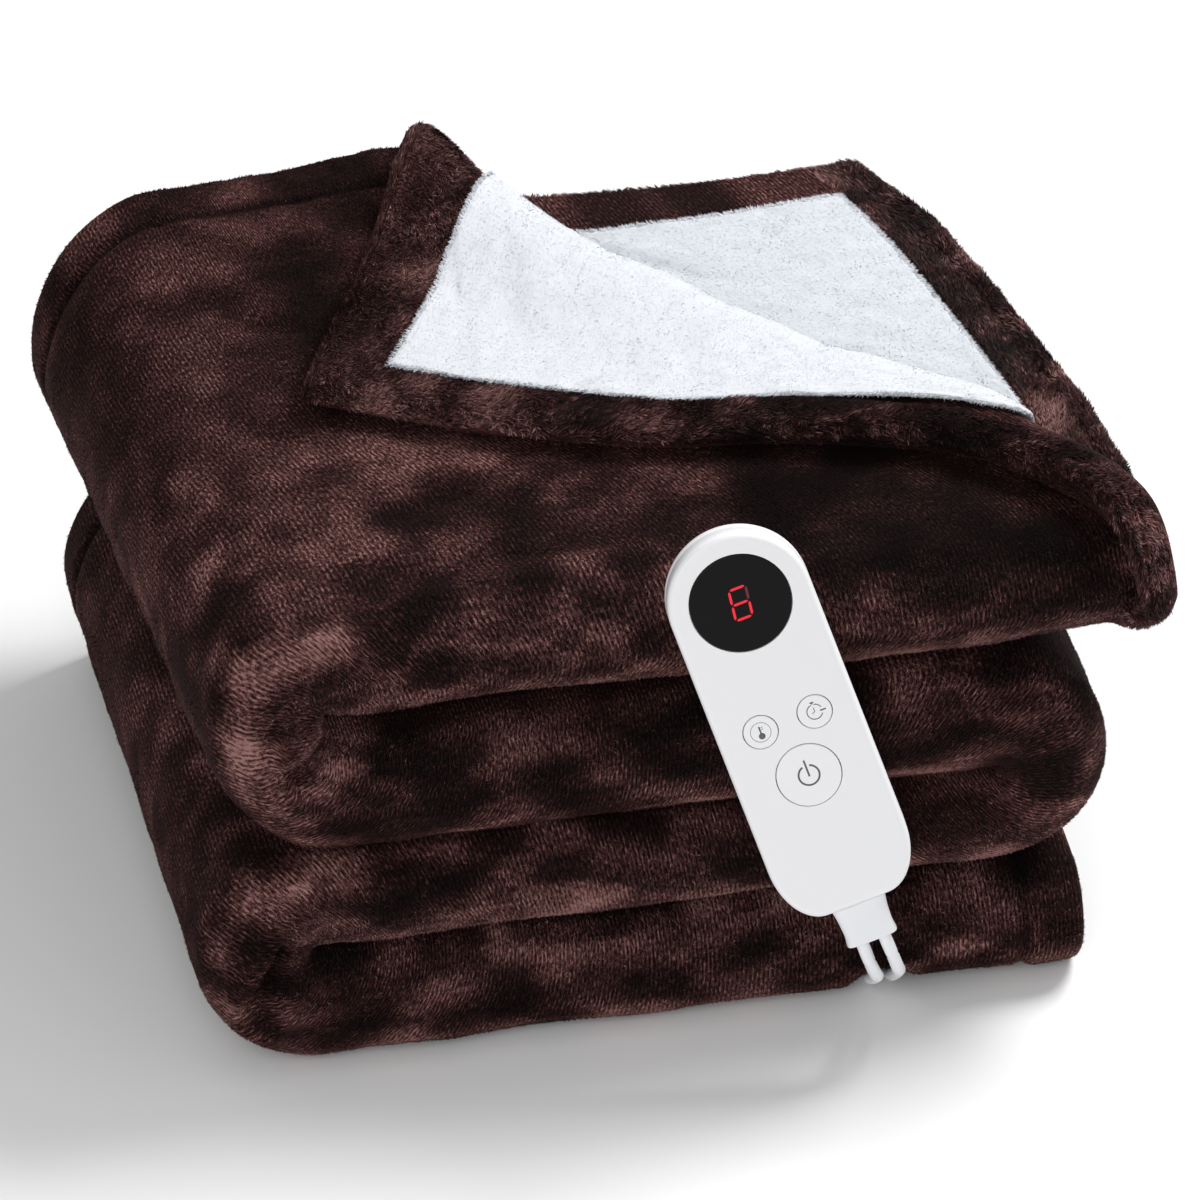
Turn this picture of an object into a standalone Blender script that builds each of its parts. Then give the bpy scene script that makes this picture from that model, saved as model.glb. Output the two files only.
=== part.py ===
"""An electric heated throw, folded into a stack, with its wired hand control.

Sizes are in metres and +Z is up. The origin is the middle of the stack's
underside; +X runs along the stack's front, to the right, and +Y to its back.

The throw is one sheet. It is folded in half twice from front to back, which
makes a pack of four plies, and the pack is folded back and forth along X into
four layers. One corner of the topmost ply is peeled and laid over.
"""

import math

import bmesh
import bpy
import numpy as np
from mathutils import Matrix, Vector

NAME = "electric_heated_blanket"

# ---- the throw ---------------------------------------------------------------
PLY = 0.0117  # flannel, heating layer and fleece of one ply, as it lies lofted
PLY_GAP = 0.0013  # air between two plies or two layers
GAP = 0.0003  # between two pieces that meet
PLIES = 4
LAYERS = 4
PACK = PLIES * PLY + (PLIES - 1) * PLY_GAP  # thickness of one layer
PITCH = PACK + PLY_GAP  # from one layer to the next
HEIGHT = LAYERS * PITCH - PLY_GAP
TURN = PITCH / 2  # radius of a U-turn's centre line
MIDDLE = Vector((0.190, 0.160, 0.0))  # the origin, from the stack's front left corner

# The outermost x of each U-turn, at the stack's front and at its back.
TURN_FRONT = {"low left": 0.000, "right": 0.389, "high left": 0.010}
TURN_BACK = {"low left": 0.000, "right": 0.383, "high left": -0.011}
DEPTH = 0.340  # where the "back" values of the U-turns hold
LOW_END = 0.375  # x of the lowest layer's hem

# How far back each layer's folded front lies, along x.
FRONT_X = (0.000, 0.170, 0.290, 0.420)
FRONT_Y = (
    (0.000, 0.000, 0.000, 0.000),
    (0.007, 0.006, 0.008, 0.008),
    (0.003, 0.004, 0.003, 0.003),
    (0.027, 0.025, 0.018, 0.021),
)
BACK_Y = (0.325, 0.327, 0.338, 0.348)  # y of each layer's back edge
TURN_PULL = 0.015  # the back edge is drawn in by this round a left U-turn

# The top layer's right end, its hem, along y.
END_Y = (0.000, 0.045, 0.070, 0.102, 0.183, 0.224, 0.290, 0.312, 0.327, 0.335)
END_X = (0.408, 0.410, 0.413, 0.412, 0.397, 0.388, 0.370, 0.362, 0.354, 0.346)
INNER_BACK = 0.012  # the second ply's hem lies this far inside the topmost one's
BACK_TUCK = 0.004  # the inner plies' fold at the back lies this far inside it
TOP_FRONT_Y = 0.018  # y of the topmost layer's folded front where the peeled corner starts
FIRST_RUN = 0.300  # about how long the lowest layer is, from its hem to its turn
END_RUN = 0.030  # the stretches past the peeled corner's ridge, where nothing is peeled
END_GUESS = 0.400  # about where the topmost layer ends

# The peeled corner. Each row is one line of the topmost ply that runs along x:
# the y at which it lies, the x at which it rolls over, and where it ends after
# that, on the hem. Past the folded front, y goes on round the fold.
FLAP_BACK_Y = (0.348, 0.308, 0.274, 0.246, 0.218, 0.186, 0.157)
FLAP_BACK_RIDGE_X = (0.144, 0.163, 0.184, 0.203, 0.230, 0.261, 0.293)
FLAP_BACK_HEM_X = (0.078, 0.096, 0.113, 0.138, 0.170, 0.212, 0.258)
FLAP_BACK_HEM_Y = (0.179, 0.168, 0.159, 0.146, 0.133, 0.121, 0.117)
FLAP_Y = (*FLAP_BACK_Y, 0.139, 0.121, 0.091, 0.062, 0.034, 0.017, 0.004)
FLAP_RIDGE_X = (*FLAP_BACK_RIDGE_X, 0.318, 0.343, 0.368, 0.390, 0.400, 0.402, 0.403)
FLAP_HEM_X = (*FLAP_BACK_HEM_X, 0.290, 0.322, 0.352, 0.375, 0.390, 0.397, 0.399)
FLAP_HEM_Y = (*FLAP_BACK_HEM_Y, 0.111, 0.101, 0.083, 0.058, 0.035, 0.018, 0.005)
ROLL_BACK = 0.0115  # radius of the roll at the back, and at the front
ROLL_FRONT = 0.0075
ROLL_WIDENS_Y = (0.100, 0.300)  # the roll widens from front to back between these
SLOPE_STEP = 0.002  # the ridge's slope is measured this far either side of a line
DRIFT_LEAST, DRIFT_MOST = -0.4, 1.2  # how far along the ridge a line may drift in the roll
FLAP_GAP = 0.0018  # air under the flap where it lies down
FLAP_SETTLE = 0.060  # it has come down this far from the roll
ROLL_LAST_Y = -0.020  # the roll has opened flat by this line, under the fold

# The fleece, the white lining, is its own piece where it shows.
FLEECE = 0.0022
FLEECE_LIFT = 0.0024  # its backing stands this far off the flannel's facets
HEM_LONG = 0.055  # flannel left bare beside the topmost ply's long hem
HEM_END = 0.026  # and beside its end hem
INNER_HEM = 0.027  # and round the second ply
FLAP_FLEECE_LAST_Y = 0.104  # the flap's fleece runs out on this line
INNER_FLEECE_FIRST_Y = 0.128  # and the second ply's starts on this one
LEAST_FLEECE = 0.002  # no line of fleece is shorter
FLEECE_CLOSER = 1.4  # above 1, the lines' steps are closer on the roll
FLEECE_LINES = 14
FLEECE_STEPS = 12
INNER_STEPS = 5
FLEECE_START = math.radians(62)  # the peeled corner's fleece starts this far up the roll

# Loft that is not even, by which the topmost layer rises or sinks: x, y, how
# far it reaches each way, and the height.
PUFFS = (
    (0.090, 0.325, 0.095, 0.060, 0.009),
    (0.280, 0.345, 0.110, 0.045, -0.004),
    (0.150, 0.345, 0.038, 0.060, 0.0095),
)
PUFF_DEEP = 0.010  # the rise fades out over the topmost layer and this far below it

# The dent that the two leads press into the stack's underside: its middle and
# width along x, and its roof along y, higher where they come in at the front.
DENT_X = 0.2891
DENT_WIDE = 0.0200
DENT_Y = (-0.020, -0.010, 0.000, 0.008, 0.016, 0.026, 0.036, 0.350)
DENT_Z = (0.0370, 0.0290, 0.0205, 0.0145, 0.0098, 0.0070, 0.0064, 0.0064)
DENT_ROUNDING = 0.0020

# How many steps each stretch of the sheet has.
TURN_STEPS = 6
RUN_STEPS = 3
TOP_STEPS = 7
ROLL_STEPS = 8
SETTLE_STEPS = 4
FRONT_STEPS = 8
SMALL_FOLD_STEPS = 4
PLY_STEPS = 3
TOPMOST_STEPS = 12
HEM_EDGE = (0.0000, 0.0018, 0.0050)  # distances from a cut edge
HEM_FULL = (0.52, 0.88, 1.00)  # the share of the thickness there

# ---- the hand control ----------------------------------------------------------
# Its own frame has its origin at the middle of the display, +Y up the body.
HANDSET_AT = Vector((0.2282, 0.0081, 0.2129))
HANDSET_YAW = math.radians(6.0)
HANDSET_LEAN = math.radians(17.0)
HANDSET_ROLL = math.radians(18.5)
HANDSET_WIDE = 0.0608
HANDSET_LONG = 0.1435  # from the display's middle to the boot
HANDSET_STRAIGHT = 0.1170  # the sides are straight down to here
HANDSET_END = 0.0133  # half its width at the boot
HANDSET_THICK = 0.0180
HANDSET_ROUND_STEPS = 10
FRONT_SHELL = 0.0090
FRONT_ROUNDING = 0.0024
BACK_ROUNDING = 0.0060
DISPLAY_RADIUS = 0.0214
WINDOW_THICK = 0.0014
WINDOW_SUNK = 0.0001
KEYS = {  # radius, and place across and along the body
    "heat_button": (0.0072, -0.0118, -0.0564),
    "timer_button": (0.0072, 0.0122, -0.0564),
    "power_button": (0.0136, 0.0004, -0.0817),
}
KEY_GAP = 0.0004
KEY_PROUD = 0.0002
KEY_RIM = 0.0003
KEY_DEEP = 0.0024
KEY_POCKET = 0.0036
BOOT_WIDE = 0.0240
BOOT_THICK = 0.0130
BOOT_LONG = 0.0182
BOOT_TAPER = 0.93
BOOT_ROUNDING = 0.0020
DISC_SIDES = 40

# ---- the leads -------------------------------------------------------------------
LEAD = 0.0055
LEAD_STEP = 0.0130
# Routes, from the stack's front left corner: out of the boot, down to the
# floor, and through the channel to the back.
MAINS_ROUTE = (
    (0.2710, -0.0334, 0.0616),
    (0.2745, -0.0362, 0.0510),
    (0.2775, -0.0318, 0.0425),
    (0.2800, -0.0240, 0.0352),
    (0.2820, -0.0130, 0.0262),
    (0.2834, 0.0000, 0.0155),
    (0.2842, 0.0090, 0.0090),
    (0.2845, 0.0180, 0.0047),
    (0.2845, 0.0300, 0.0030),
    (0.2845, 0.0700, 0.0029),
    (0.2845, 0.1700, 0.0029),
    (0.2845, 0.2700, 0.0029),
    (0.2845, 0.3250, 0.0029),
    (0.2790, 0.3500, 0.0029),
    (0.2640, 0.3660, 0.0032),
    (0.2548, 0.3835, 0.0036),
)
BLANKET_ROUTE = (
    (0.2803, -0.0335, 0.0645),
    (0.2840, -0.0365, 0.0540),
    (0.2868, -0.0322, 0.0450),
    (0.2892, -0.0245, 0.0375),
    (0.2912, -0.0135, 0.0280),
    (0.2926, -0.0005, 0.0167),
    (0.2934, 0.0090, 0.0092),
    (0.2937, 0.0180, 0.0047),
    (0.2937, 0.0300, 0.0030),
    (0.2937, 0.0700, 0.0029),
    (0.2937, 0.1700, 0.0029),
    (0.2937, 0.2700, 0.0029),
    (0.2937, 0.3250, 0.0029),
    (0.2950, 0.3600, 0.0029),
    (0.3020, 0.3850, 0.0029),
    (0.3180, 0.4000, 0.0029),
    (0.3380, 0.4000, 0.0029),
    (0.3530, 0.3880, 0.0040),
    (0.3560, 0.3760, 0.0060),
    (0.3560, 0.3670, 0.0070),
    (0.3560, 0.3607, 0.0070),
)
COIL_AT = Vector((0.2150, 0.3980, 0.0018))
COIL_RADIUS = 0.0300
COIL_WIDE = 0.0170
COIL_HIGH = 0.0158
COIL_CORNER = 0.0030
COIL_CORNER_STEPS = 2
COIL_SIDES = 36
TIE_ANGLE = math.radians(-60.0)
TIE_WIDE = 0.0080
TIE_THICK = 0.0012
TIE_SLACK = 0.0008  # the coil's sides are round, and the strap is straight
TAIL_ROUTE = (
    (0.2100, 0.4399, 0.0046),
    (0.1980, 0.4396, 0.0046),
    (0.1860, 0.4386, 0.0062),
    (0.1750, 0.4374, 0.0096),
    (0.1680, 0.4370, 0.0110),
    (0.1620, 0.4370, 0.0110),
)
PLUG_AT = Vector((0.1300, 0.4370, 0.0110))  # the middle of its back, where the relief starts
PLUG_WIDE = 0.0280
PLUG_THICK = 0.0220
PLUG_LONG = 0.0300
PLUG_TAPER = 0.86
PLUG_ROUNDING = 0.0030
RELIEF_SIZE = (0.0120, 0.0120, 0.0310)
RELIEF_TAPER = 0.60
RELIEF_ROUNDING = 0.0016
BLADE_SIZE = (0.0063, 0.0015, 0.0170)
BLADE_TAPER = 0.95
BLADE_ROUNDING = 0.0004
BLADE_APART = 0.0127
CONNECTOR_SIZE = (0.0450, 0.0290, 0.0140)
CONNECTOR_AT = Vector((0.3560, 0.3458, 0.0000))
CONNECTOR_ROUNDING = 0.0030


# ---- smooth tables -----------------------------------------------------------
def read_table(at, places, values):
    """A smooth curve through a table's rows (cubic, with central slopes)."""
    places, values = np.array(places, float), np.array(values, float)
    if places[0] > places[-1]:
        places, values = places[::-1], values[::-1]
    at = np.clip(at, places[0], places[-1])
    slope = np.gradient(values, places)
    i = np.clip(np.searchsorted(places, at) - 1, 0, len(places) - 2)
    step = places[i + 1] - places[i]
    t = (at - places[i]) / step
    return (
        values[i] * (2 * t**3 - 3 * t**2 + 1)
        + step * slope[i] * (t**3 - 2 * t**2 + t)
        + values[i + 1] * (3 * t**2 - 2 * t**3)
        + step * slope[i + 1] * (t**3 - t**2)
    )


def ease(value, low, high):
    """0 below low, 1 above high, and a smooth rise between them."""
    t = np.clip((value - low) / (high - low), 0.0, 1.0)
    return t * t * (3 - 2 * t)


# ---- the pack of plies, carried along the layers ------------------------------
FOLD = (PLY + PLY_GAP) / 2  # radius of a small fold's centre line
OUTER_FOLD = 3 * FOLD  # and of the big one at the front
FRONT_MIDDLE = TOP_FRONT_Y + PACK / 2  # y of the big fold's centre, where FLAP_Y starts round it


def front_y(layer, x):
    return read_table(x, FRONT_X, FRONT_Y[layer])


def turn_x(turn, y):
    """x of the middle of a U-turn, at each y."""
    edge = TURN_FRONT[turn] + (TURN_BACK[turn] - TURN_FRONT[turn]) * y / DEPTH
    return edge - (TURN + PACK / 2) if turn == "right" else edge + TURN + PACK / 2


def layer_height(layer):
    """z of the middle of a layer."""
    return PACK / 2 + layer * PITCH


def end_x(y):
    return read_table(y, END_Y, END_X)


def along_layers():
    """The stations along the layers: (stretch, fraction along it)."""
    hem = [(0, e / FIRST_RUN) for e in HEM_EDGE]
    stations = hem + [(0, f) for f in np.linspace(0, 1, RUN_STEPS + 1)[1:]]
    for stretch in (1, 2, 3, 4, 5):
        steps = TURN_STEPS if stretch % 2 else RUN_STEPS
        stations += [(stretch, f) for f in np.linspace(0, 1, steps + 1)[1:]]
    stations += [(6, f) for f in np.linspace(0, 1, TOP_STEPS + 1)[1:]]
    stations += [(7, f) for f in np.linspace(0, 1, ROLL_STEPS + 1)[1:]]
    stations += [(8, f) for f in np.linspace(0, 1, SETTLE_STEPS + 1)[1:]]
    return stations


def across_pack():
    """The lines of the sheet from hem to hem, seen from its end.

    Each has a fraction of the way from the front fold's middle to the back, a
    shift in y past that, its height in the pack, and its angle round the big
    fold: 0 on the topmost ply, pi below it.
    """
    back_fold = BACK_TUCK + FOLD + PLY / 2
    span = BACK_Y[-1] - FRONT_MIDDLE
    hem = [1 - e / span for e in HEM_EDGE]
    lines = [(f, 0.0, OUTER_FOLD, 0.0) for f in hem]
    for f in np.linspace(hem[-1], 0, TOPMOST_STEPS + 1)[1:]:
        lines.append((f, 0.0, OUTER_FOLD, 0.0))
    for a in np.linspace(0, math.pi, FRONT_STEPS + 1)[1:]:
        lines.append((0.0, -OUTER_FOLD * math.sin(a), OUTER_FOLD * math.cos(a), a))
    for f in np.linspace(0, 1, PLY_STEPS + 1)[1:]:
        lines.append((f, -back_fold * f, -OUTER_FOLD, math.pi))
    for a in np.linspace(0, math.pi, SMALL_FOLD_STEPS + 1)[1:]:
        bulge = FOLD * math.sin(a)
        lines.append((1.0, bulge - back_fold, -2 * FOLD - FOLD * math.cos(a), math.pi))
    for f in np.linspace(1, 0, PLY_STEPS + 1)[1:]:
        lines.append((f, -back_fold * f, -FOLD, math.pi))
    for a in np.linspace(0, math.pi, SMALL_FOLD_STEPS + 1)[1:]:
        lines.append((0.0, -FOLD * math.sin(a), -FOLD * math.cos(a), math.pi))
    for f in np.linspace(0, hem[-1], PLY_STEPS + 1)[1:]:
        lines.append((f, -INNER_BACK * f, FOLD, math.pi))
    for f in hem[-2::-1]:
        lines.append((f, -INNER_BACK * f, FOLD, math.pi))
    return lines


def stretch_ends(stretch):
    """The layers at a stretch's two ends, and the turn it makes, if any."""
    if stretch >= 6:
        return 3, 3, None
    if stretch % 2:
        return stretch // 2, stretch // 2 + 1, ("low left", "right", "high left")[stretch // 2]
    return stretch // 2, stretch // 2, None


def pack_point(stretch, f, line):
    """A point of the sheet's middle surface, where no corner is peeled."""
    fraction, shift, height, _ = line
    first, second, turn = stretch_ends(stretch)
    x_near = {0: (LOW_END, turn_x("low left", 0)), 6: (turn_x("high left", 0), END_GUESS)}
    if turn:
        x_guess = turn_x(turn, 0)
    else:
        ends = x_near.get(stretch, (turn_x("low left", 0), turn_x("right", 0)))
        x_guess = ends[0] + (ends[1] - ends[0]) * (f if stretch < 7 else 1)
    blend = ease(f, 0, 1) if turn else 0.0
    front = front_y(first, x_guess) * (1 - blend) + front_y(second, x_guess) * blend
    back = BACK_Y[first] * (1 - blend) + BACK_Y[second] * blend
    if turn and turn != "right":
        back -= TURN_PULL * math.sin(math.pi * f)
    y = (front + PACK / 2) * (1 - fraction) + back * fraction + shift
    if turn:
        swing = math.pi * (f - 0.5)
        side = 1 if turn == "right" else -1
        reach = TURN - side * height
        middle = layer_height(first) + TURN
        return (turn_x(turn, y) + side * reach * math.cos(swing), y, middle + reach * math.sin(swing))
    starts = {
        0: (LOW_END, turn_x("low left", y)),
        2: (turn_x("low left", y), turn_x("right", y)),
        4: (turn_x("right", y), turn_x("high left", y)),
    }
    if stretch < 6:
        start, stop = starts[stretch]
        x = start + (stop - start) * f
    else:
        start, stop = turn_x("high left", y), end_x(y)
        x = {
            6: start + (stop - END_RUN - start) * f,
            7: stop - END_RUN * (1 - f / 2),
            8: stop - END_RUN * (1 - f) / 2,
        }[stretch]
    upright = 1 if first % 2 else -1
    return (float(x), y, layer_height(first) + upright * height)


# ---- the topmost ply and its peeled corner ------------------------------------
def topmost_face(x, y, height):
    """A point above the middle of the topmost ply; below FRONT_MIDDLE, y goes
    round the big fold at the front."""
    span = BACK_Y[-1] - FRONT_MIDDLE
    fraction = np.clip((y - FRONT_MIDDLE) / span, 0, 1)
    shift = (front_y(3, x) + PACK / 2 - FRONT_MIDDLE) * (1 - fraction)
    angle = np.clip(FRONT_MIDDLE - y, 0, None) / (PACK / 2)
    reach = OUTER_FOLD + height
    flat = np.maximum(y, FRONT_MIDDLE)
    return np.stack(
        [x, flat + shift - reach * np.sin(angle), layer_height(3) + reach * np.cos(angle)], axis=-1
    )


def roll_sizes(y):
    """For each line: ridge x, the ridge's slope, roll radius, drift, hem."""
    ridge = read_table(y, FLAP_Y, FLAP_RIDGE_X)
    before = read_table(y - SLOPE_STEP, FLAP_Y, FLAP_RIDGE_X)
    after = read_table(y + SLOPE_STEP, FLAP_Y, FLAP_RIDGE_X)
    slope = (after - before) / (2 * SLOPE_STEP)
    radius = ROLL_FRONT + (ROLL_BACK - ROLL_FRONT) * ease(y, *ROLL_WIDENS_Y)
    hem = read_table(y, FLAP_Y, FLAP_HEM_X), read_table(y, FLAP_Y, FLAP_HEM_Y)
    return ridge, slope, radius, hem


def peeled_line(y, s):
    """Points of the topmost ply's middle: y names the line, and s is the way
    past the place where it starts to roll over."""
    ridge, slope, radius, (hem_x, hem_y) = roll_sizes(y)
    norm = np.sqrt(1 + slope**2)
    down = (-slope / norm, -1 / norm)  # along the ridge, towards the front
    out = (1 / norm, -slope / norm)  # square to it, away from the stack's left
    way = (hem_x - ridge, hem_y - y)
    drift_in = -slope
    drift_out = (way[0] * down[0] + way[1] * down[1]) / -(way[0] * out[0] + way[1] * out[1])
    drift_out = np.clip(drift_out, DRIFT_LEAST, DRIFT_MOST)
    turned = np.clip(s / radius, 0, math.pi)
    drift = radius * (drift_in * turned + (drift_out - drift_in) * turned**2 / (2 * math.pi))
    x = ridge + np.minimum(s, 0) + out[0] * radius * np.sin(turned) + down[0] * drift
    at_y = y + out[1] * radius * np.sin(turned) + down[1] * drift
    height = radius * (1 - np.cos(turned))
    past = np.where(s > math.pi * radius, s - math.pi * radius, 0)
    share = np.where(turned >= math.pi, past / np.maximum(flap_length(y), 1e-6), 0)
    lying = PLY + FLAP_GAP
    settled = ease(past, 0, FLAP_SETTLE)
    height = np.where(share > 0, 2 * radius + (lying - 2 * radius) * settled, height)
    x = x + (hem_x - x) * share
    at_y = at_y + (hem_y - at_y) * share
    return topmost_face(x, at_y, height)


def flap_length(y):
    """How far the sheet reaches past its roll, on each line."""
    ridge, _, _, (hem_x, hem_y) = roll_sizes(y)
    return np.hypot(hem_x - ridge, hem_y - y)


def settle_loft(points):
    """Raise or sink the topmost layer where its loft is uneven."""
    x, y, z = points[..., 0], points[..., 1], points[..., 2]
    top = ease(z, 3 * PITCH - PUFF_DEEP, HEIGHT)
    lift = sum(
        height * np.exp(-(((x - at_x) / wide) ** 2) - ((y - at_y) / deep) ** 2)
        for at_x, at_y, wide, deep, height in PUFFS
    )
    return np.stack([x, y, z + top * lift], axis=-1)


def throw_surface():
    """The sheet's middle surface, a grid of stations by lines, and the share
    of the full thickness at each point."""
    stations, lines = along_layers(), across_pack()
    points = [[pack_point(stretch, f, line) for line in lines] for stretch, f in stations]
    points = np.array(points)
    span = BACK_Y[-1] - FRONT_MIDDLE
    below = [j for j, line in enumerate(lines) if line[3] == math.pi]
    for j in range(below[0]):
        fraction, _, _, angle = lines[j]
        y = FRONT_MIDDLE + fraction * span - PACK / 2 * angle
        peeled = ease(y, ROLL_LAST_Y, FLAP_Y[-1])
        ridge, _, radius, _ = roll_sizes(y)
        for i, (stretch, f) in enumerate(stations):
            if stretch >= 6:
                way = {
                    6: (turn_x("high left", y) - ridge) * (1 - f),
                    7: math.pi * radius * f,
                    8: math.pi * radius + flap_length(y) * f,
                }[stretch]
                points[i, j] += (peeled_line(y, way) - points[i, j]) * peeled
    shares = np.ones(points.shape[:2])
    for edge, share in enumerate(HEM_FULL):
        for row in (shares[edge], shares[-1 - edge], shares[:, edge], shares[:, -1 - edge]):
            np.minimum(row, share, out=row)
    return settle_loft(points), shares


def sheet_normals(points):
    """Unit normals of a grid of points, from its neighbours."""
    along, across = np.gradient(points, axis=0), np.gradient(points, axis=1)
    normals = np.cross(along, across)
    return normals / np.linalg.norm(normals, axis=-1, keepdims=True)


def flap_fleece_surface():
    """The middle of the fleece on the peeled corner: it starts on the roll and
    ends at the hems."""
    y = np.linspace(FLAP_Y[0] - HEM_LONG, FLAP_FLEECE_LAST_Y, FLEECE_LINES)
    _, _, radius, _ = roll_sizes(y)
    start = FLEECE_START * radius
    stop = math.pi * radius + flap_length(y) - HEM_END
    steps = np.linspace(0, 1, FLEECE_STEPS + 1)[:, None] ** FLEECE_CLOSER
    way = start + np.maximum(stop - start, LEAST_FLEECE) * steps
    points = settle_loft(peeled_line(np.broadcast_to(y, way.shape), way))
    return points + sheet_normals(points) * (PLY / 2 + FLEECE_LIFT + FLEECE / 2)


def inner_fleece_surface():
    """The middle of the fleece on the second ply, from the roll to its hems."""
    y = np.linspace(BACK_Y[-1] - INNER_BACK - INNER_HEM, INNER_FLEECE_FIRST_Y, FLEECE_LINES)
    ridge, slope, radius, _ = roll_sizes(y)
    start = ridge + (radius + PLY / 2 + 2 * FLEECE) * np.sqrt(1 + slope**2)
    stop = np.maximum(end_x(y) - INNER_HEM, start + LEAST_FLEECE)
    x = start + (stop - start) * np.linspace(0, 1, INNER_STEPS + 1)[:, None]
    top = layer_height(3) + FOLD + PLY / 2 + FLEECE_LIFT + FLEECE / 2
    fraction = (y - FRONT_MIDDLE) / (BACK_Y[-1] - FRONT_MIDDLE)
    at_y = y + (front_y(3, x) + PACK / 2 - FRONT_MIDDLE) * (1 - fraction)
    return settle_loft(np.stack([x, at_y, np.full_like(x, top)], axis=-1))


# ---- making objects ------------------------------------------------------------
def finish(name, color, roughness=0.6, metallic=0.0):
    """A plain material in the part's colour."""
    material = bpy.data.materials.new(name)
    material.use_nodes = True
    shader = material.node_tree.nodes["Principled BSDF"]
    shader.inputs["Base Color"].default_value = (*color, 1)
    shader.inputs["Roughness"].default_value = roughness
    shader.inputs["Metallic"].default_value = metallic
    material.diffuse_color = (*color, 1)
    return material


def add_object(name, data, collection, material=None, parent=None, location=(0, 0, 0)):
    made = bpy.data.objects.new(name, data)
    if material:
        data.materials.append(material)
    made.parent = parent
    made.location = location
    collection.objects.link(made)
    return made


def mesh_from(name, bm):
    bmesh.ops.recalc_face_normals(bm, faces=bm.faces)
    mesh = bpy.data.meshes.new(name)
    bm.to_mesh(mesh)
    bm.free()
    mesh.shade_smooth()
    mesh.set_sharp_from_angle(angle=math.radians(35))
    return mesh


def add_sheet(name, points, thickness, material, collection, shares=None):
    """A grid of points on a sheet's middle surface, thickened both ways."""
    points = points - np.array(MIDDLE)
    rows, columns = points.shape[:2]
    number = np.arange(rows * columns).reshape(rows, columns)
    corners = (number[:-1, :-1], number[1:, :-1], number[1:, 1:], number[:-1, 1:])
    faces = np.stack([c.ravel() for c in corners], axis=1)
    mesh = bpy.data.meshes.new(name)
    mesh.from_pydata(points.reshape(-1, 3).tolist(), [], faces.tolist())
    mesh.shade_smooth()
    sheet = add_object(name, mesh, collection, material)
    solid = sheet.modifiers.new("thickness", "SOLIDIFY")
    solid.thickness = thickness
    solid.offset = 0
    if shares is not None:
        group = sheet.vertex_groups.new(name="fullness")
        for index, share in enumerate(shares.ravel()):
            group.add([index], float(share), "REPLACE")
        solid.vertex_group = group.name
    return sheet


def bevel(bm, edges, offset, segments):
    bmesh.ops.bevel(bm, geom=edges, offset=offset, segments=segments, profile=0.5, affect="EDGES")


def disc(name, radius, low, high, rim=0.0):
    """A turned disc from height low to high, its upper edge rounded by rim."""
    bm = bmesh.new()
    bmesh.ops.create_cone(
        bm,
        cap_ends=True,
        segments=DISC_SIDES,
        radius1=radius,
        radius2=radius,
        depth=high - low,
        matrix=Matrix.Translation((0, 0, (low + high) / 2)),
    )
    if rim:
        top = [e for e in bm.edges if all(v.co.z > high - GAP / 2 for v in e.verts)]
        bevel(bm, top, rim, 2)
    return mesh_from(name, bm)


def block(name, size, taper=1.0, rounding=0.002, segments=3, matrix=None):
    """A box from z = 0 up, whose top is drawn in to taper times its base, with
    rounded edges."""
    bm = bmesh.new()
    bmesh.ops.create_cube(bm, size=1)
    for vert in bm.verts:
        x, y, z = vert.co
        share = taper if z > 0 else 1.0
        vert.co = (x * size[0] * share, y * size[1] * share, (z + 0.5) * size[2])
    bevel(bm, bm.edges[:], rounding, segments)
    if matrix:
        bm.transform(matrix)
    return mesh_from(name, bm)


def dent():
    """The leads' dent, its side view raised along x."""
    floor = [(DENT_Y[-1], -DENT_ROUNDING), (DENT_Y[0], -DENT_ROUNDING)]
    bm = bmesh.new()
    outline = [bm.verts.new((-DENT_WIDE / 2, y, z)) for y, z in [*zip(DENT_Y, DENT_Z), *floor]]
    raised = bmesh.ops.extrude_face_region(bm, geom=[bm.faces.new(outline)])["geom"]
    for item in raised:
        if isinstance(item, bmesh.types.BMVert):
            item.co.x = DENT_WIDE / 2
    return mesh_from("lead_dent", bm)


def cut(target, cutter):
    modifier = target.modifiers.new(cutter.name, "BOOLEAN")
    modifier.object = cutter
    modifier.solver = "EXACT"
    cutter.hide_render = True
    cutter.display_type = "WIRE"


# ---- the hand control ------------------------------------------------------------
def handset_outline():
    """Half round at the display's end, straight sides, and an end that tapers
    in quarter ellipses to the boot."""
    points = []
    for a in np.linspace(0, math.pi, 2 * HANDSET_ROUND_STEPS + 1):
        points.append((HANDSET_WIDE / 2 * math.cos(a), HANDSET_WIDE / 2 * math.sin(a)))
    deep = HANDSET_LONG - HANDSET_STRAIGHT
    draw_in = HANDSET_WIDE / 2 - HANDSET_END
    turn = np.linspace(0, math.pi / 2, HANDSET_ROUND_STEPS)
    left = []
    for a in turn:
        left.append((-HANDSET_END - draw_in * math.cos(a), -HANDSET_STRAIGHT - deep * math.sin(a)))
    return points + left + [(-x, y) for x, y in reversed(left)]


def shell(name, low, high, rounded, rounding, segments):
    """The outline, raised from low to high, with one of its rims rounded."""
    bm = bmesh.new()
    face = bm.faces.new([bm.verts.new((x, y, low)) for x, y in handset_outline()])
    raised = bmesh.ops.extrude_face_region(bm, geom=[face])["geom"]
    for item in raised:
        if isinstance(item, bmesh.types.BMVert):
            item.co.z = high
    rim = [e for e in bm.edges if all(abs(v.co.z - rounded) < GAP / 2 for v in e.verts)]
    bevel(bm, rim, rounding, segments)
    return mesh_from(name, bm)


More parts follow.
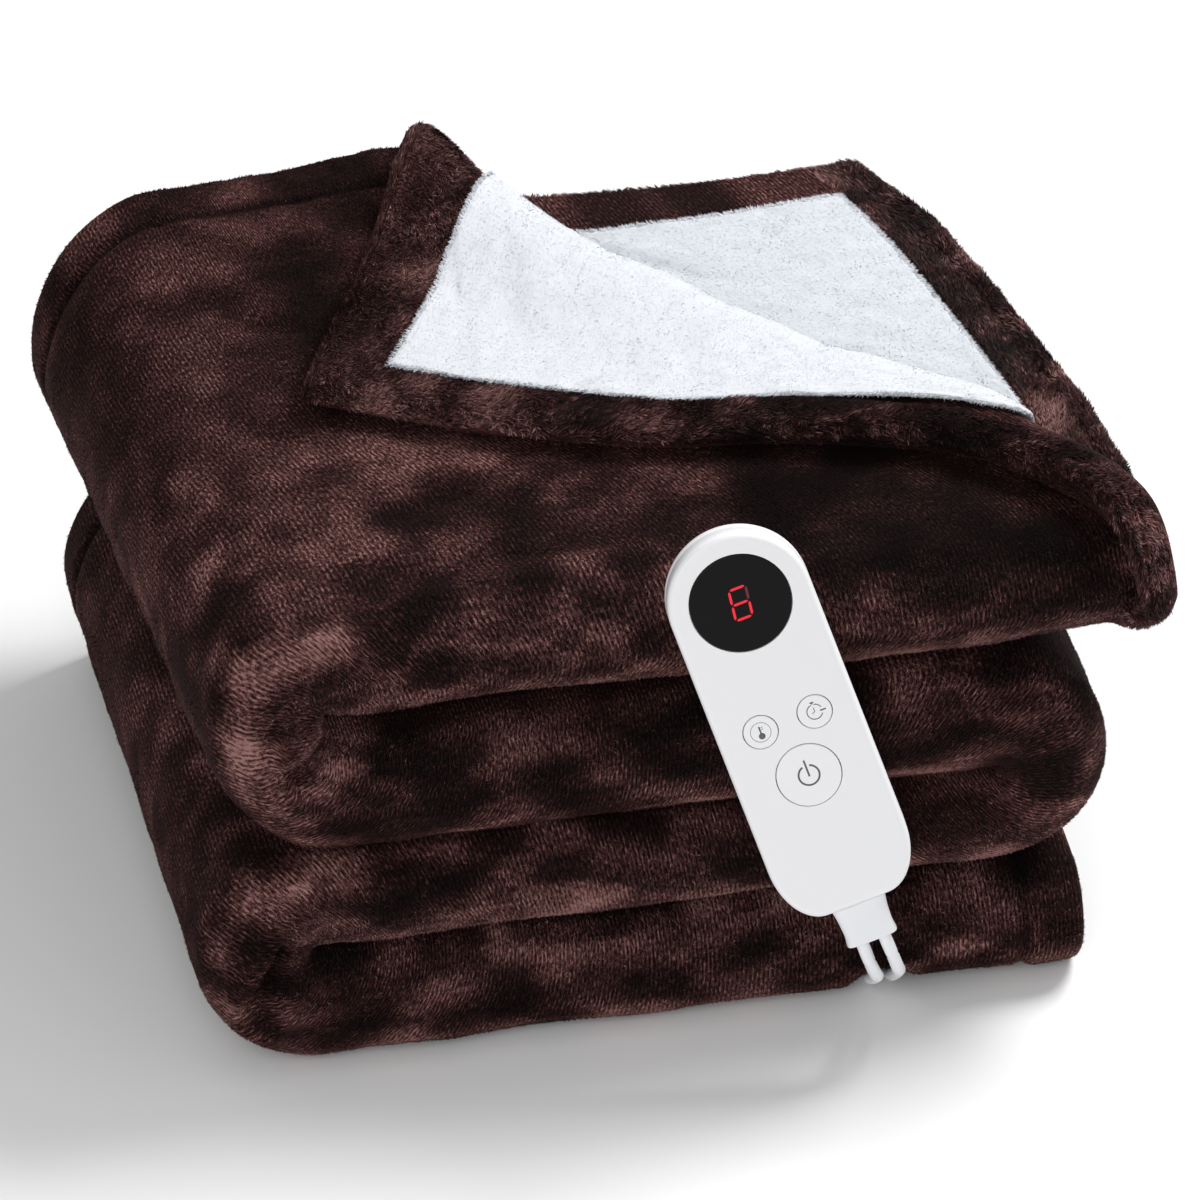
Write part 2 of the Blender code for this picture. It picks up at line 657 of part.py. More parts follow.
def make_handset(parts, cutters):
    """The hand control, in a frame with its origin at the middle of the
    display, +Y up along the body and +Z out of its face."""
    upright = Matrix.Rotation(math.pi / 2 - HANDSET_LEAN, 3, "X")
    turned = Matrix.Rotation(-HANDSET_YAW, 3, "Z") @ upright @ Matrix.Rotation(HANDSET_ROLL, 3, "Z")
    place = bpy.data.objects.new("handset_place", None)
    place.matrix_world = Matrix.Translation(HANDSET_AT - MIDDLE) @ turned.to_4x4()
    parts.objects.link(place)
    white = finish("handset_white", (0.78, 0.78, 0.79), 0.38)
    key = finish("key_white", (0.80, 0.80, 0.81), 0.42)
    rubber = finish("boot_white", (0.74, 0.74, 0.75), 0.5)
    glass = finish("display_black", (0.012, 0.012, 0.013), 0.12)

    front_shell = shell("handset_front", -FRONT_SHELL, 0, 0, FRONT_ROUNDING, 3)
    front = add_object("handset_front", front_shell, parts, white, place)
    back_top = -FRONT_SHELL - GAP
    back_shell = shell("handset_back", -HANDSET_THICK, back_top, -HANDSET_THICK, BACK_ROUNDING, 4)
    back_white = finish("handset_back_white", (0.74, 0.74, 0.75), 0.45)
    add_object("handset_back", back_shell, parts, back_white, place)
    recess = disc("display_recess", DISPLAY_RADIUS + GAP, -WINDOW_THICK - GAP, WINDOW_THICK)
    cut(front, add_object("display_recess", recess, cutters, None, place))
    window = disc("display_window", DISPLAY_RADIUS, -WINDOW_THICK, -WINDOW_SUNK)
    add_object("display_window", window, parts, glass, place)
    for name, (radius, x, y) in KEYS.items():
        pocket = disc(name + "_pocket", radius + KEY_GAP, -KEY_POCKET, KEY_POCKET)
        cut(front, add_object(name + "_pocket", pocket, cutters, None, place, (x, y, 0)))
        body = disc(name, radius, -KEY_DEEP, KEY_PROUD, KEY_RIM)
        add_object(name, body, parts, key, place, (x, y, 0))

    boot_at = Matrix.Translation((0, -HANDSET_LONG - GAP, -HANDSET_THICK / 2))
    boot_size = (BOOT_WIDE, BOOT_THICK, BOOT_LONG)
    downward = boot_at @ Matrix.Rotation(math.pi / 2, 4, "X")
    boot = block("cord_boot", boot_size, BOOT_TAPER, BOOT_ROUNDING, 3, downward)
    add_object("cord_boot", boot, parts, rubber, place)


# ---- the leads -------------------------------------------------------------------
def smooth_route(points, spacing):
    """Points at an even spacing on a smooth curve through the route's own."""
    points = np.array(points, float)
    for _ in range(2):
        way = np.concatenate([[0], np.cumsum(np.linalg.norm(np.diff(points, axis=0), axis=1))])
        steps = max(2, round(way[-1] / spacing))
        at = np.linspace(0, way[-1], steps + 1)
        points = np.stack([read_table(at, way, points[:, k]) for k in range(3)], axis=1)
    points[:, 2] = np.maximum(points[:, 2], LEAD / 2)
    return points


def add_tube(name, route, material, collection):
    points = smooth_route(route, LEAD_STEP)
    curve = bpy.data.curves.new(name, "CURVE")
    curve.dimensions = "3D"
    curve.bevel_depth = LEAD / 2
    curve.bevel_resolution = 2
    curve.use_fill_caps = True
    spline = curve.splines.new("POLY")
    spline.points.add(len(points) - 1)
    for point, co in zip(spline.points, points - np.array(MIDDLE)):
        point.co = (*co, 1)
    return add_object(name, curve, collection, material)


def add_ring(name, material, collection):
    """The coil's outer shape: its section, with rounded corners, turned."""
    bm = bmesh.new()
    wide, high, corner = COIL_WIDE / 2, COIL_HIGH / 2, COIL_CORNER
    section = []
    for k, (side, up) in enumerate(((1, 1), (-1, 1), (-1, -1), (1, -1))):
        for a in np.linspace(0, math.pi / 2, COIL_CORNER_STEPS + 1) + k * math.pi / 2:
            x = COIL_RADIUS + side * (wide - corner) + corner * math.cos(a)
            z = high + up * (high - corner) + corner * math.sin(a)
            section.append(bm.verts.new((x, 0, z)))
    edges = [bm.edges.new((a, b)) for a, b in zip(section, section[1:] + section[:1])]
    bmesh.ops.spin(
        bm,
        geom=section + edges,
        cent=(0, 0, 0),
        axis=(0, 0, 1),
        angle=2 * math.pi,
        steps=COIL_SIDES,
        use_merge=True,
    )
    return add_object(name, mesh_from(name, bm), collection, material, None, COIL_AT - MIDDLE)


def make_leads(parts, cutters):
    """Both leads, the coil of the mains lead's unseen length with its tie, the
    plug, and the connector on the throw's back hem."""
    cord = finish("lead_white", (0.76, 0.76, 0.77), 0.45)
    molded = finish("plug_white", (0.74, 0.74, 0.75), 0.42)
    metal = finish("plated_brass", (0.80, 0.74, 0.55), 0.28, 1.0)
    strap = finish("tie_black", (0.02, 0.02, 0.02), 0.6)
    add_tube("mains_lead", MAINS_ROUTE, cord, parts)
    add_tube("mains_tail", TAIL_ROUTE, cord, parts)
    add_tube("blanket_lead", BLANKET_ROUTE, cord, parts)
    add_ring("mains_coil", cord, parts)

    hole = (COIL_WIDE + 2 * TIE_SLACK, COIL_HIGH + 2 * GAP, 4 * TIE_WIDE)
    band = (hole[0] + 2 * TIE_THICK, hole[1] + 2 * TIE_THICK, TIE_WIDE)
    for size, where, material in ((band, parts, strap), (hole, cutters, None)):
        tie_name = "coil_tie" if where is parts else "coil_tie_hole"
        upright = Matrix.Rotation(math.pi / 2, 4, "X") @ Matrix.Translation((0, 0, -size[2] / 2))
        rounding = TIE_THICK / 3 if where is parts else COIL_CORNER / 2
        tie = block(tie_name, size, 1, rounding, 2, upright)
        made = add_object(tie_name, tie, where, material, None, COIL_AT - MIDDLE)
        made.location += Matrix.Rotation(TIE_ANGLE, 3, "Z") @ Vector((COIL_RADIUS, 0, COIL_HIGH / 2))
        made.rotation_euler.z = TIE_ANGLE
    cut(parts.objects["coil_tie"], cutters.objects["coil_tie_hole"])

    along = Matrix.Rotation(-math.pi / 2, 4, "Y")
    plug = block("mains_plug", (PLUG_THICK, PLUG_WIDE, PLUG_LONG), PLUG_TAPER, PLUG_ROUNDING, 3, along)
    add_object("mains_plug", plug, parts, molded, None, PLUG_AT - MIDDLE)
    relief_out = Matrix.Rotation(math.pi / 2, 4, "Y")
    relief = block("plug_relief", RELIEF_SIZE, RELIEF_TAPER, RELIEF_ROUNDING, 3, relief_out)
    add_object("plug_relief", relief, parts, molded, None, PLUG_AT + Vector((GAP, 0, 0)) - MIDDLE)
    for side, name in ((-1, "plug_blade_left"), (1, "plug_blade_right")):
        blade = block(name, BLADE_SIZE, BLADE_TAPER, BLADE_ROUNDING, 1, along)
        offset = Vector((-PLUG_LONG - GAP, side * BLADE_APART / 2, 0))
        add_object(name, blade, parts, metal, None, PLUG_AT + offset - MIDDLE)

    case = block("lead_connector", CONNECTOR_SIZE, 1, CONNECTOR_ROUNDING)
    add_object("lead_connector", case, parts, molded, None, CONNECTOR_AT - MIDDLE)


def main():
    for old in list(bpy.data.objects):
        bpy.data.objects.remove(old, do_unlink=True)
    parts = bpy.data.collections.new(NAME)
    cutters = bpy.data.collections.new("cutters")
    bpy.context.scene.collection.children.link(parts)
    bpy.context.scene.collection.children.link(cutters)
    flannel = finish("flannel", (0.045, 0.022, 0.021), 0.85)
    points, shares = throw_surface()
    blanket = add_sheet("blanket", points, PLY, flannel, parts, shares)
    dent_at = Vector((DENT_X, 0, 0)) - MIDDLE
    cut(blanket, add_object("lead_dent", dent(), cutters, None, None, dent_at))
    fleece = finish("fleece", (0.83, 0.84, 0.88), 0.9)
    add_sheet("fleece_flap", flap_fleece_surface(), FLEECE, fleece, parts)
    add_sheet("fleece_inner", inner_fleece_surface(), FLEECE, fleece, parts)
    make_handset(parts, cutters)
    make_leads(parts, cutters)


if __name__ == "__main__":
    main()
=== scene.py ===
# %% [markdown]
# # An electric heated throw, folded, with its hand control
#
# The throw is one big sheet of plush flannel lined with fleece. It lies folded
# in a stack, and one corner of its topmost ply is turned back. This script
# dresses the plain solids of the frame: it rebuilds the sheet finely enough for
# its wrinkles, gives it its nap, lays the white fleece where the lining shows,
# and finishes the hand control and its two leads.

# %% The frame
import math

import bmesh
import bpy
import numpy as np
from mathutils import Matrix, Vector


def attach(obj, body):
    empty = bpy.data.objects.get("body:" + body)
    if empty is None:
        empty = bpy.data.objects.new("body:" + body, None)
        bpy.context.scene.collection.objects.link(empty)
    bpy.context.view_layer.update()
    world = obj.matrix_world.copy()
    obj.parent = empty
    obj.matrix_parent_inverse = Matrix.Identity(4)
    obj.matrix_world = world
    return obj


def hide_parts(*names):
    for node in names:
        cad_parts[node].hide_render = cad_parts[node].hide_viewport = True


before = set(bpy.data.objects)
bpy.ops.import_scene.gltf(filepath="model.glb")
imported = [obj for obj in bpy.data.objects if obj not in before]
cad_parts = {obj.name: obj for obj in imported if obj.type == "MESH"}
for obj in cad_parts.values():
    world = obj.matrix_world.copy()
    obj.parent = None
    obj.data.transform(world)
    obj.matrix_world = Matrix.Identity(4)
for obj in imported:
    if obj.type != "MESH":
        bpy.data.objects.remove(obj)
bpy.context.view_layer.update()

# %% [markdown]
# ## Camera
#
# The picture was taken from far away with a long lens, so parallel edges stay
# parallel in it. A real lens of that kind works here too: the camera stands
# twelve metres off, and its lens is as long as a frame half a metre wide asks
# for. It looks down by 36.5 degrees and stands 12 degrees to the stack's left.

# %% Camera
MIDDLE = np.array((0.190, 0.160, 0.0))  # the origin, from the stack's front left corner
VIEW_AZIMUTH, VIEW_ELEVATION = math.radians(-12.0), math.radians(36.5)
CAMERA_FAR = 12.0
PIXELS_PER_METRE = 2400.0
PICTURE = 1200
CORNER_PIXEL = (208.0, 1093.0)  # where the stack's front left corner lies in the picture

toward = Vector((
    math.sin(VIEW_AZIMUTH) * math.cos(VIEW_ELEVATION),
    -math.cos(VIEW_AZIMUTH) * math.cos(VIEW_ELEVATION),
    math.sin(VIEW_ELEVATION),
))
right = (-toward).cross(Vector((0, 0, 1))).normalized()
upward = right.cross(-toward)
aim = -Vector(MIDDLE)
aim += right * ((PICTURE / 2 - CORNER_PIXEL[0]) / PIXELS_PER_METRE)
aim += upward * ((CORNER_PIXEL[1] - PICTURE / 2) / PIXELS_PER_METRE)
lens = bpy.data.cameras.new("camera")
lens.sensor_width = 36.0
lens.lens = lens.sensor_width * CAMERA_FAR * PIXELS_PER_METRE / PICTURE
lens.clip_end = 4 * CAMERA_FAR
camera = bpy.data.objects.new("camera", lens)
camera.matrix_world = (
    Matrix.Translation(aim + toward * CAMERA_FAR) @ Matrix((right, upward, toward)).transposed().to_4x4()
)
bpy.context.scene.collection.objects.link(camera)
bpy.context.scene.camera = camera
print("camera", tuple(round(c, 3) for c in camera.location), "lens", round(lens.lens), "mm")

# %% [markdown]
# ## Small helpers
#
# A few curves are used all over. A table of a few rows is read as a smooth
# curve, everything that starts or stops softly goes through one ease, and what is
# strongest at one place is a bell. Meshes are made from whole arrays of points,
# and one function closes a mesh and turns its faces outwards.

# %% Helpers
GAP = 0.0003  # between two pieces that meet
POLE = 0.00002  # the radius with which turned surfaces and tubes end, before close_up merges it to a point
SHARP = math.radians(50)  # edges that bend more are shaded as sharp


def read_table(at, places, values):
    """A smooth curve through a table's rows: cubics between the rows, each
    with the slope that its neighbours give it."""
    places, values = np.array(places, float), np.array(values, float)
    if places[0] > places[-1]:
        places, values = places[::-1], values[::-1]
    at = np.clip(at, places[0], places[-1])
    slope = np.gradient(values, places)
    i = np.clip(np.searchsorted(places, at) - 1, 0, len(places) - 2)
    step = places[i + 1] - places[i]
    t = (at - places[i]) / step
    return (
        values[i] * (2 * t**3 - 3 * t**2 + 1)
        + step * slope[i] * (t**3 - 2 * t**2 + t)
        + values[i + 1] * (3 * t**2 - 2 * t**3)
        + step * slope[i + 1] * (t**3 - t**2)
    )


def ease(value, low, high):
    """0 below low, 1 above high, and 3t² - 2t³ between them."""
    t = np.clip((value - low) / (high - low), 0.0, 1.0)
    return t * t * (3 - 2 * t)


def bell(*ways):
    """1 in the middle and less on all sides: exp(-(a² + b² + ...))."""
    return np.exp(-sum(way**2 for way in ways))


def unit(vectors):
    """Vectors divided by their own length."""
    return vectors / np.maximum(np.linalg.norm(vectors, axis=-1, keepdims=True), 1e-12)


def grid_normals(points):
    """Each point's normal: its slope along the first axis crossed with its
    slope along the second."""
    return unit(np.cross(np.gradient(points, axis=0), np.gradient(points, axis=1)))

print("curves ready; gaps between pieces are", GAP * 1000, "mm")


# %% Mesh helpers
def make_mesh(name, points, faces, uv=None, smooth=True):
    """A mesh object from an array of points and one of quads or triangles."""
    mesh = bpy.data.meshes.new(name)
    faces = np.asarray(faces, np.int32)
    corners = faces.shape[1]
    mesh.vertices.add(len(points))
    mesh.vertices.foreach_set("co", np.asarray(points, np.float32).ravel())
    mesh.loops.add(faces.size)
    mesh.loops.foreach_set("vertex_index", faces.ravel())
    mesh.polygons.add(len(faces))
    mesh.polygons.foreach_set("loop_start", np.arange(0, faces.size, corners, dtype=np.int32))
    mesh.update(calc_edges=True)
    mesh.polygons.foreach_set("use_smooth", np.full(len(faces), smooth))
    if uv is not None:
        layer = mesh.uv_layers.new(name="cloth")
        layer.data.foreach_set("uv", np.asarray(uv, np.float32)[faces.ravel()].ravel())
    mesh.validate()
    made = bpy.data.objects.new(name, mesh)
    bpy.context.scene.collection.objects.link(made)
    return made


def close_up(made, near=2.5 * POLE, hard=SHARP):
    """Merges points that lie closer than near, fills what is left open, turns
    all faces outwards, and shades edges as sharp where they bend more than hard."""
    work = bmesh.new()
    work.from_mesh(made.data)
    bmesh.ops.remove_doubles(work, verts=work.verts[:], dist=near)
    bmesh.ops.holes_fill(work, edges=[edge for edge in work.edges if edge.is_boundary], sides=0)
    bmesh.ops.recalc_face_normals(work, faces=work.faces[:])
    work.to_mesh(made.data)
    work.free()
    made.data.set_sharp_from_angle(angle=hard)


def grid_faces(rows, columns, wrap_rows=False, wrap_columns=False):
    """The quads of a grid of points, numbered row by row."""
    i = np.arange(rows if wrap_rows else rows - 1)[:, None]
    j = np.arange(columns if wrap_columns else columns - 1)[None, :]
    i_next, j_next = (i + 1) % rows, (j + 1) % columns
    quads = [i * columns + j, i_next * columns + j, i_next * columns + j_next, i * columns + j_next]
    return np.stack([np.broadcast_to(q, (i.size, j.size)).ravel() for q in quads], axis=1)


def dress(made, material, body="root"):
    """Gives a piece its material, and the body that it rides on."""
    made.data.materials.append(material)
    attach(made, body)
    return made

print("mesh helpers ready; sharp edges bend more than", round(math.degrees(SHARP)), "degrees")

# %% [markdown]
# ## The two leads
#
# Both leads leave the boot at the lower end of the hand control. They run down
# the front of the lowest layer, under the stack, and come out behind it: one
# goes to its connector on the throw, the other through a small tied coil to the
# plug. All of their length is there, and the coil is out of the picture's sight.

# %% Routes of the leads
LEAD = 0.0055
LEAD_STEP = 0.003
# Routes, from the stack's front left corner.
MAINS_ROUTE = (
    (0.2710, -0.0334, 0.0616),
    (0.2745, -0.0362, 0.0510),
    (0.2775, -0.0318, 0.0425),
    (0.2800, -0.0240, 0.0352),
    (0.2820, -0.0130, 0.0262),
    (0.2834, 0.0000, 0.0155),
    (0.2842, 0.0090, 0.0090),
    (0.2845, 0.0180, 0.0047),
    (0.2845, 0.0300, 0.0030),
    (0.2845, 0.0700, 0.0029),
    (0.2845, 0.1700, 0.0029),
    (0.2845, 0.2700, 0.0029),
    (0.2845, 0.3250, 0.0029),
    (0.2790, 0.3500, 0.0029),
    (0.2640, 0.3660, 0.0032),
    (0.2548, 0.3835, 0.0036),
)
BLANKET_ROUTE = (
    (0.2803, -0.0335, 0.0645),
    (0.2840, -0.0365, 0.0540),
    (0.2868, -0.0322, 0.0450),
    (0.2892, -0.0245, 0.0375),
    (0.2912, -0.0135, 0.0280),
    (0.2926, -0.0005, 0.0167),
    (0.2934, 0.0090, 0.0092),
    (0.2937, 0.0180, 0.0047),
    (0.2937, 0.0300, 0.0030),
    (0.2937, 0.0700, 0.0029),
    (0.2937, 0.1700, 0.0029),
    (0.2937, 0.2700, 0.0029),
    (0.2937, 0.3250, 0.0029),
    (0.2950, 0.3600, 0.0029),
    (0.3020, 0.3850, 0.0029),
    (0.3180, 0.4000, 0.0029),
    (0.3380, 0.4000, 0.0029),
    (0.3530, 0.3880, 0.0040),
    (0.3560, 0.3760, 0.0060),
    (0.3560, 0.3670, 0.0070),
    (0.3560, 0.3607, 0.0070),
)
TAIL_ROUTE = (
    (0.1980, 0.4396, 0.0046),
    (0.1860, 0.4386, 0.0062),
    (0.1750, 0.4374, 0.0096),
    (0.1680, 0.4370, 0.0110),
    (0.1620, 0.4370, 0.0110),
)
COIL_AT = np.array((0.2150, 0.3980, 0.0018))
COIL_TURNS = (  # radius and height of each turn, in the order they are wound
    (0.03550, 0.01230),
    (0.03000, 0.01230),
    (0.02725, 0.00756),
    (0.03275, 0.00756),
    (0.02450, 0.00280),
    (0.03000, 0.00280),
    (0.03550, 0.00280),
)
TIE_TURN, TIE_REACH = math.radians(300), math.radians(24)
COIL_FIRST, COIL_CLIMBED = math.radians(10), math.radians(60)
COIL_START = (0.0045, -0.0058)  # its first point: further out, and lower
COIL_LAST, COIL_LEAVES, COIL_OUT = math.radians(90 + 6 * 360), math.radians(45), 0.0064
COIL_STEPS = 380

print(len(MAINS_ROUTE) + len(TAIL_ROUTE), "and", len(BLANKET_ROUTE), "points,", len(COIL_TURNS), "turns")


# %% Curves and tubes
def smooth_route(points, spacing):
    """Points at an even spacing on a smooth curve through the route's own."""
    points = np.array(points, float)
    for _ in range(2):
        way = np.concatenate([[0], np.cumsum(np.linalg.norm(np.diff(points, axis=0), axis=1))])
        at = np.linspace(0, way[-1], max(2, round(way[-1] / spacing)) + 1)
        points = np.stack([read_table(at, way, points[:, k]) for k in range(3)], axis=1)
    points[:, 2] = np.maximum(points[:, 2], LEAD / 2)
    return points


def coil_line():
    """The coil: the angle runs on and on, and at each pass under the tie the
    line eases over to the next turn's radius and height."""
    angle = np.linspace(COIL_FIRST, COIL_LAST, COIL_STEPS)
    line = np.repeat([COIL_TURNS[0]], len(angle), axis=0).astype(float)
    for turn, (now, then) in enumerate(zip(COIL_TURNS, COIL_TURNS[1:])):
        passed = TIE_TURN + turn * 2 * math.pi
        over = ease(angle, passed - TIE_REACH, passed + TIE_REACH)[:, None]
        line += over * (np.array(then) - np.array(now))
    line += (1 - ease(angle, COIL_FIRST, COIL_CLIMBED))[:, None] * np.array(COIL_START)
    radius = line[:, 0] + COIL_OUT * ease(angle, COIL_LAST - COIL_LEAVES, COIL_LAST)
    return COIL_AT + np.stack([radius * np.cos(angle), radius * np.sin(angle), line[:, 1]], axis=1)


def tube(name, path, radii, sides=14):
    """A round tube: at each point of the path a circle, square to the path. A
    first and a last circle of almost no size are merged, which closes its ends."""
    path = np.concatenate([path[:1], path, path[-1:]])
    radii = np.concatenate([[POLE], np.broadcast_to(radii, len(path) - 2), [POLE]])
    tangent = unit(np.gradient(path[1:-1], axis=0))
    tangent = np.concatenate([tangent[:1], tangent, tangent[-1:]])
    side = unit(np.cross(tangent, (0.0, 0.0, 1.0)))
    rise = np.cross(side, tangent)
    a = np.linspace(0, 2 * math.pi, sides, endpoint=False)[None, :, None]
    ring = side[:, None] * np.cos(a) + rise[:, None] * np.sin(a)
    points = path[:, None] + ring * radii[:, None, None]
    made = make_mesh(name, (points - MIDDLE).reshape(-1, 3), grid_faces(len(path), sides, wrap_columns=True))
    close_up(made)
    return made


def line_length(path):
    """The sum of a line's steps."""
    return float(np.linalg.norm(np.diff(path, axis=0), axis=1).sum())

print("the coil's line is", round(line_length(coil_line()), 3), "m long")

# %% The two leads
mains_path = smooth_route(np.concatenate([MAINS_ROUTE, coil_line(), TAIL_ROUTE]), LEAD_STEP)
blanket_path = smooth_route(BLANKET_ROUTE, LEAD_STEP)
mains = tube("mains_lead_full", mains_path, LEAD / 2)
heater = tube("blanket_lead_full", blanket_path, LEAD / 2)
for lead in (mains, heater):
    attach(lead, "root")
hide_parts("mains_lead", "mains_coil", "mains_tail")
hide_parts("blanket_lead")
print("mains lead", round(line_length(mains_path), 3), "m")
print("blanket lead", round(line_length(blanket_path), 3), "m")

# %% [markdown]
# ## How the throw is folded
#
# It is folded in half twice, which makes a pack of four plies, and the pack is
# folded back and forth into four layers. So a point of the sheet needs two
# numbers: how far it is along the layers, and how far it is across the pack.
# Its place is the pack's section carried along that zigzag.

# %% Sizes of the folded throw
PLY = 0.0117
PLY_GAP = 0.0013
PACK = 4 * PLY + 3 * PLY_GAP
PITCH = PACK + PLY_GAP
HEIGHT = 4 * PITCH - PLY_GAP
TURN = PITCH / 2
FOLD = (PLY + PLY_GAP) / 2
OUTER_FOLD = 3 * FOLD
FRONT_MIDDLE = 0.018 + PACK / 2  # y of the topmost front fold's middle
BACK_TUCK = 0.004  # the back folds lie that far inside the hems
TURN_FRONT = {"low left": 0.000, "right": 0.389, "high left": 0.010}
TURN_BACK = {"low left": 0.000, "right": 0.383, "high left": -0.011}
DEPTH = 0.340
LOW_END = 0.375
FRONT_X = (0.000, 0.170, 0.290, 0.420)
FRONT_Y = (
    (0.000, 0.000, 0.000, 0.000),
    (0.007, 0.006, 0.008, 0.008),
    (0.003, 0.004, 0.003, 0.003),
    (0.027, 0.025, 0.018, 0.021),
)
BACK_Y = (0.325, 0.327, 0.338, 0.348)
TURN_PULL = 0.015
INNER_BACK = 0.012
TAIL = 0.030  # the topmost layer's last stretch, where it isn't peeled
END_GUESS = 0.40  # about where the topmost layer ends, only for reading the front's table
FIRST_RUN = 0.33  # about the length of the first stretch, which spaces the lines at its hem
PUFFS = (  # x, y, reach along x, reach along y, height of the topmost layer's uneven loft
    (0.090, 0.325, 0.095, 0.060, 0.009),
    (0.280, 0.345, 0.110, 0.045, -0.004),
    (0.150, 0.345, 0.038, 0.060, 0.0095),
)

# How finely each stretch along the layers, and across the pack, is cut.
ALONG_STEPS = (34, 30, 34, 22, 34, 36, 50, 16, 24)
OVER_LEADS = (0.19, 0.33, 24)  # more of them where the leads run under the stack
ACROSS_STEPS = {"topmost": 50, "front": 38, "lowest": 22, "back fold": 8, "inner": 6, "inner fold": 4}
HEM_EDGE = np.array((0.0, 0.0005, 0.0016, 0.0034, 0.0060))
HEM_LINE = 0.026  # the hems' seam, from the edge
HEM_LINE_STEPS = HEM_LINE + np.array((-0.0045, -0.0022, 0.0, 0.0022, 0.0045))


def front_y(layer, x):
    """How far back a layer's front lies."""
    return read_table(x, FRONT_X, FRONT_Y[layer])


def layer_height(layer):
    """The height of a layer's middle."""
    return PACK / 2 + layer * PITCH


def turn_x(turn, y):
    """x of the middle of a U-turn: its outermost x runs straight from front to
    back, and its middle lies half a layer inside that."""
    edge = TURN_FRONT[turn] + (TURN_BACK[turn] - TURN_FRONT[turn]) * y / DEPTH
    return edge - (TURN + PACK / 2) if turn == "right" else edge + TURN + PACK / 2

print("a layer is", round(PACK * 1000, 1), "mm thick, and the stack", round(HEIGHT * 1000, 1), "mm high")

# %% The lines across the pack
def across_pack():
    """Columns: fraction of the way from the front fold's middle to the back,
    shift in y, height in the pack, angle round the big front fold."""
    steps = ACROSS_STEPS
    back_fold = BACK_TUCK + FOLD + PLY / 2
    span = BACK_Y[-1] - FRONT_MIDDLE
    hem = 1 - HEM_EDGE / span

    def run(start, stop, count, shift, height, angle, more=()):
        """Straight across, in even steps and at the places given as more."""
        f = np.unique(np.concatenate([np.linspace(start, stop, count + 1)[1:], more]))
        f = f if start < stop else f[::-1]
        return np.stack([f, shift * f, np.full_like(f, height), np.full_like(f, angle)], axis=1)

    def turn(at, radius, middle, way, count, shift, angle=None):
        """A half circle round a fold; with no angle given, the big front one."""
        a = np.linspace(0, math.pi, count + 1)[1:]
        return np.stack([
            np.full_like(a, at),
            shift + way * radius * np.sin(a),
            middle + (radius if way < 0 and angle is None else -radius) * np.cos(a),
            a if angle is None else np.full_like(a, angle),
        ], axis=1)

    top = np.stack([hem, 0 * hem, np.full_like(hem, OUTER_FOLD), 0 * hem], axis=1)
    last = np.stack([hem, -INNER_BACK * hem, np.full_like(hem, FOLD), np.full_like(hem, math.pi)], axis=1)
    return np.concatenate([
        top,
        run(hem[-1], 0, steps["topmost"], 0, OUTER_FOLD, 0, 1 - HEM_LINE_STEPS / span),
        turn(0, OUTER_FOLD, 0, -1, steps["front"], 0),
        run(0, 1, steps["lowest"], -back_fold, -OUTER_FOLD, math.pi),
        turn(1, FOLD, -2 * FOLD, 1, steps["back fold"], -back_fold, math.pi),
        run(1, 0, steps["inner"], -back_fold, -FOLD, math.pi),
        turn(0, FOLD, 0, -1, steps["inner fold"], 0, math.pi),
        run(0, hem[-1], steps["inner"], -INNER_BACK, FOLD, math.pi),
        last[-2::-1],
    ])


def along_layers():
    """Columns: which stretch of the zigzag, and the fraction of the way along it."""
    rows = [np.stack([0 * HEM_EDGE, HEM_EDGE / FIRST_RUN], axis=1)]
    for stretch, count in enumerate(ALONG_STEPS):
        f = np.linspace(HEM_EDGE[-1] / FIRST_RUN if stretch == 0 else 0, 1, count + 1)[1:]
        if stretch == 0:
            f = np.unique(np.concatenate([f, np.linspace(*OVER_LEADS), HEM_LINE_STEPS / FIRST_RUN]))
        rows.append(np.stack([np.full_like(f, stretch), f], axis=1))
    return np.concatenate(rows)


lines = across_pack()
stations = along_layers()
last_front = int(np.argmax(lines[:, 3] >= math.pi - 1e-9))  # the line at which the front fold ends
print(len(stations), "stations along the layers,", len(lines), "lines across the pack")

# %% [markdown]
# ## The peeled corner
#
# The back right corner of the topmost ply is rolled over and laid down, like a
# page. A short table says, for a few lines of the ply, where each rolls over
# and where its end comes to lie. In between, the sheet follows a half circle.

# %% Table of the peeled corner
FLAP_Y = (0.348, 0.308, 0.274, 0.246, 0.218, 0.186, 0.157, 0.139, 0.121, 0.091, 0.062, 0.034, 0.017, 0.004)
FLAP_RIDGE_X = (
    0.144, 0.163, 0.184, 0.203, 0.230, 0.261, 0.293, 0.318, 0.343, 0.368, 0.390, 0.400, 0.402, 0.403,
)
FLAP_HEM_X = (
    0.078, 0.096, 0.113, 0.138, 0.170, 0.212, 0.258, 0.290, 0.322, 0.352, 0.375, 0.390, 0.397, 0.399,
)
FLAP_HEM_Y = (
    0.179, 0.168, 0.159, 0.146, 0.133, 0.121, 0.117, 0.111, 0.101, 0.083, 0.058, 0.035, 0.018, 0.005,
)
END_Y = (0.000, 0.045, 0.070, 0.102, 0.183, 0.224, 0.290, 0.312, 0.327, 0.335)
END_X = (0.408, 0.410, 0.413, 0.412, 0.397, 0.388, 0.370, 0.362, 0.354, 0.346)
ROLL_BACK = 0.0115
ROLL_FRONT = 0.0075
FLAP_GAP = 0.0018
FLAP_SETTLE = 0.060
ROLL_LAST_Y = -0.020
ROLL_WIDENS = (0.10, 0.30)  # between these y the roll's radius grows from the front's to the back's
RIDGE_STEP = 0.002  # over which the ridge's slope is measured
DRIFT_RANGE = (-0.4, 1.2)  # how much a line may slide along its roll


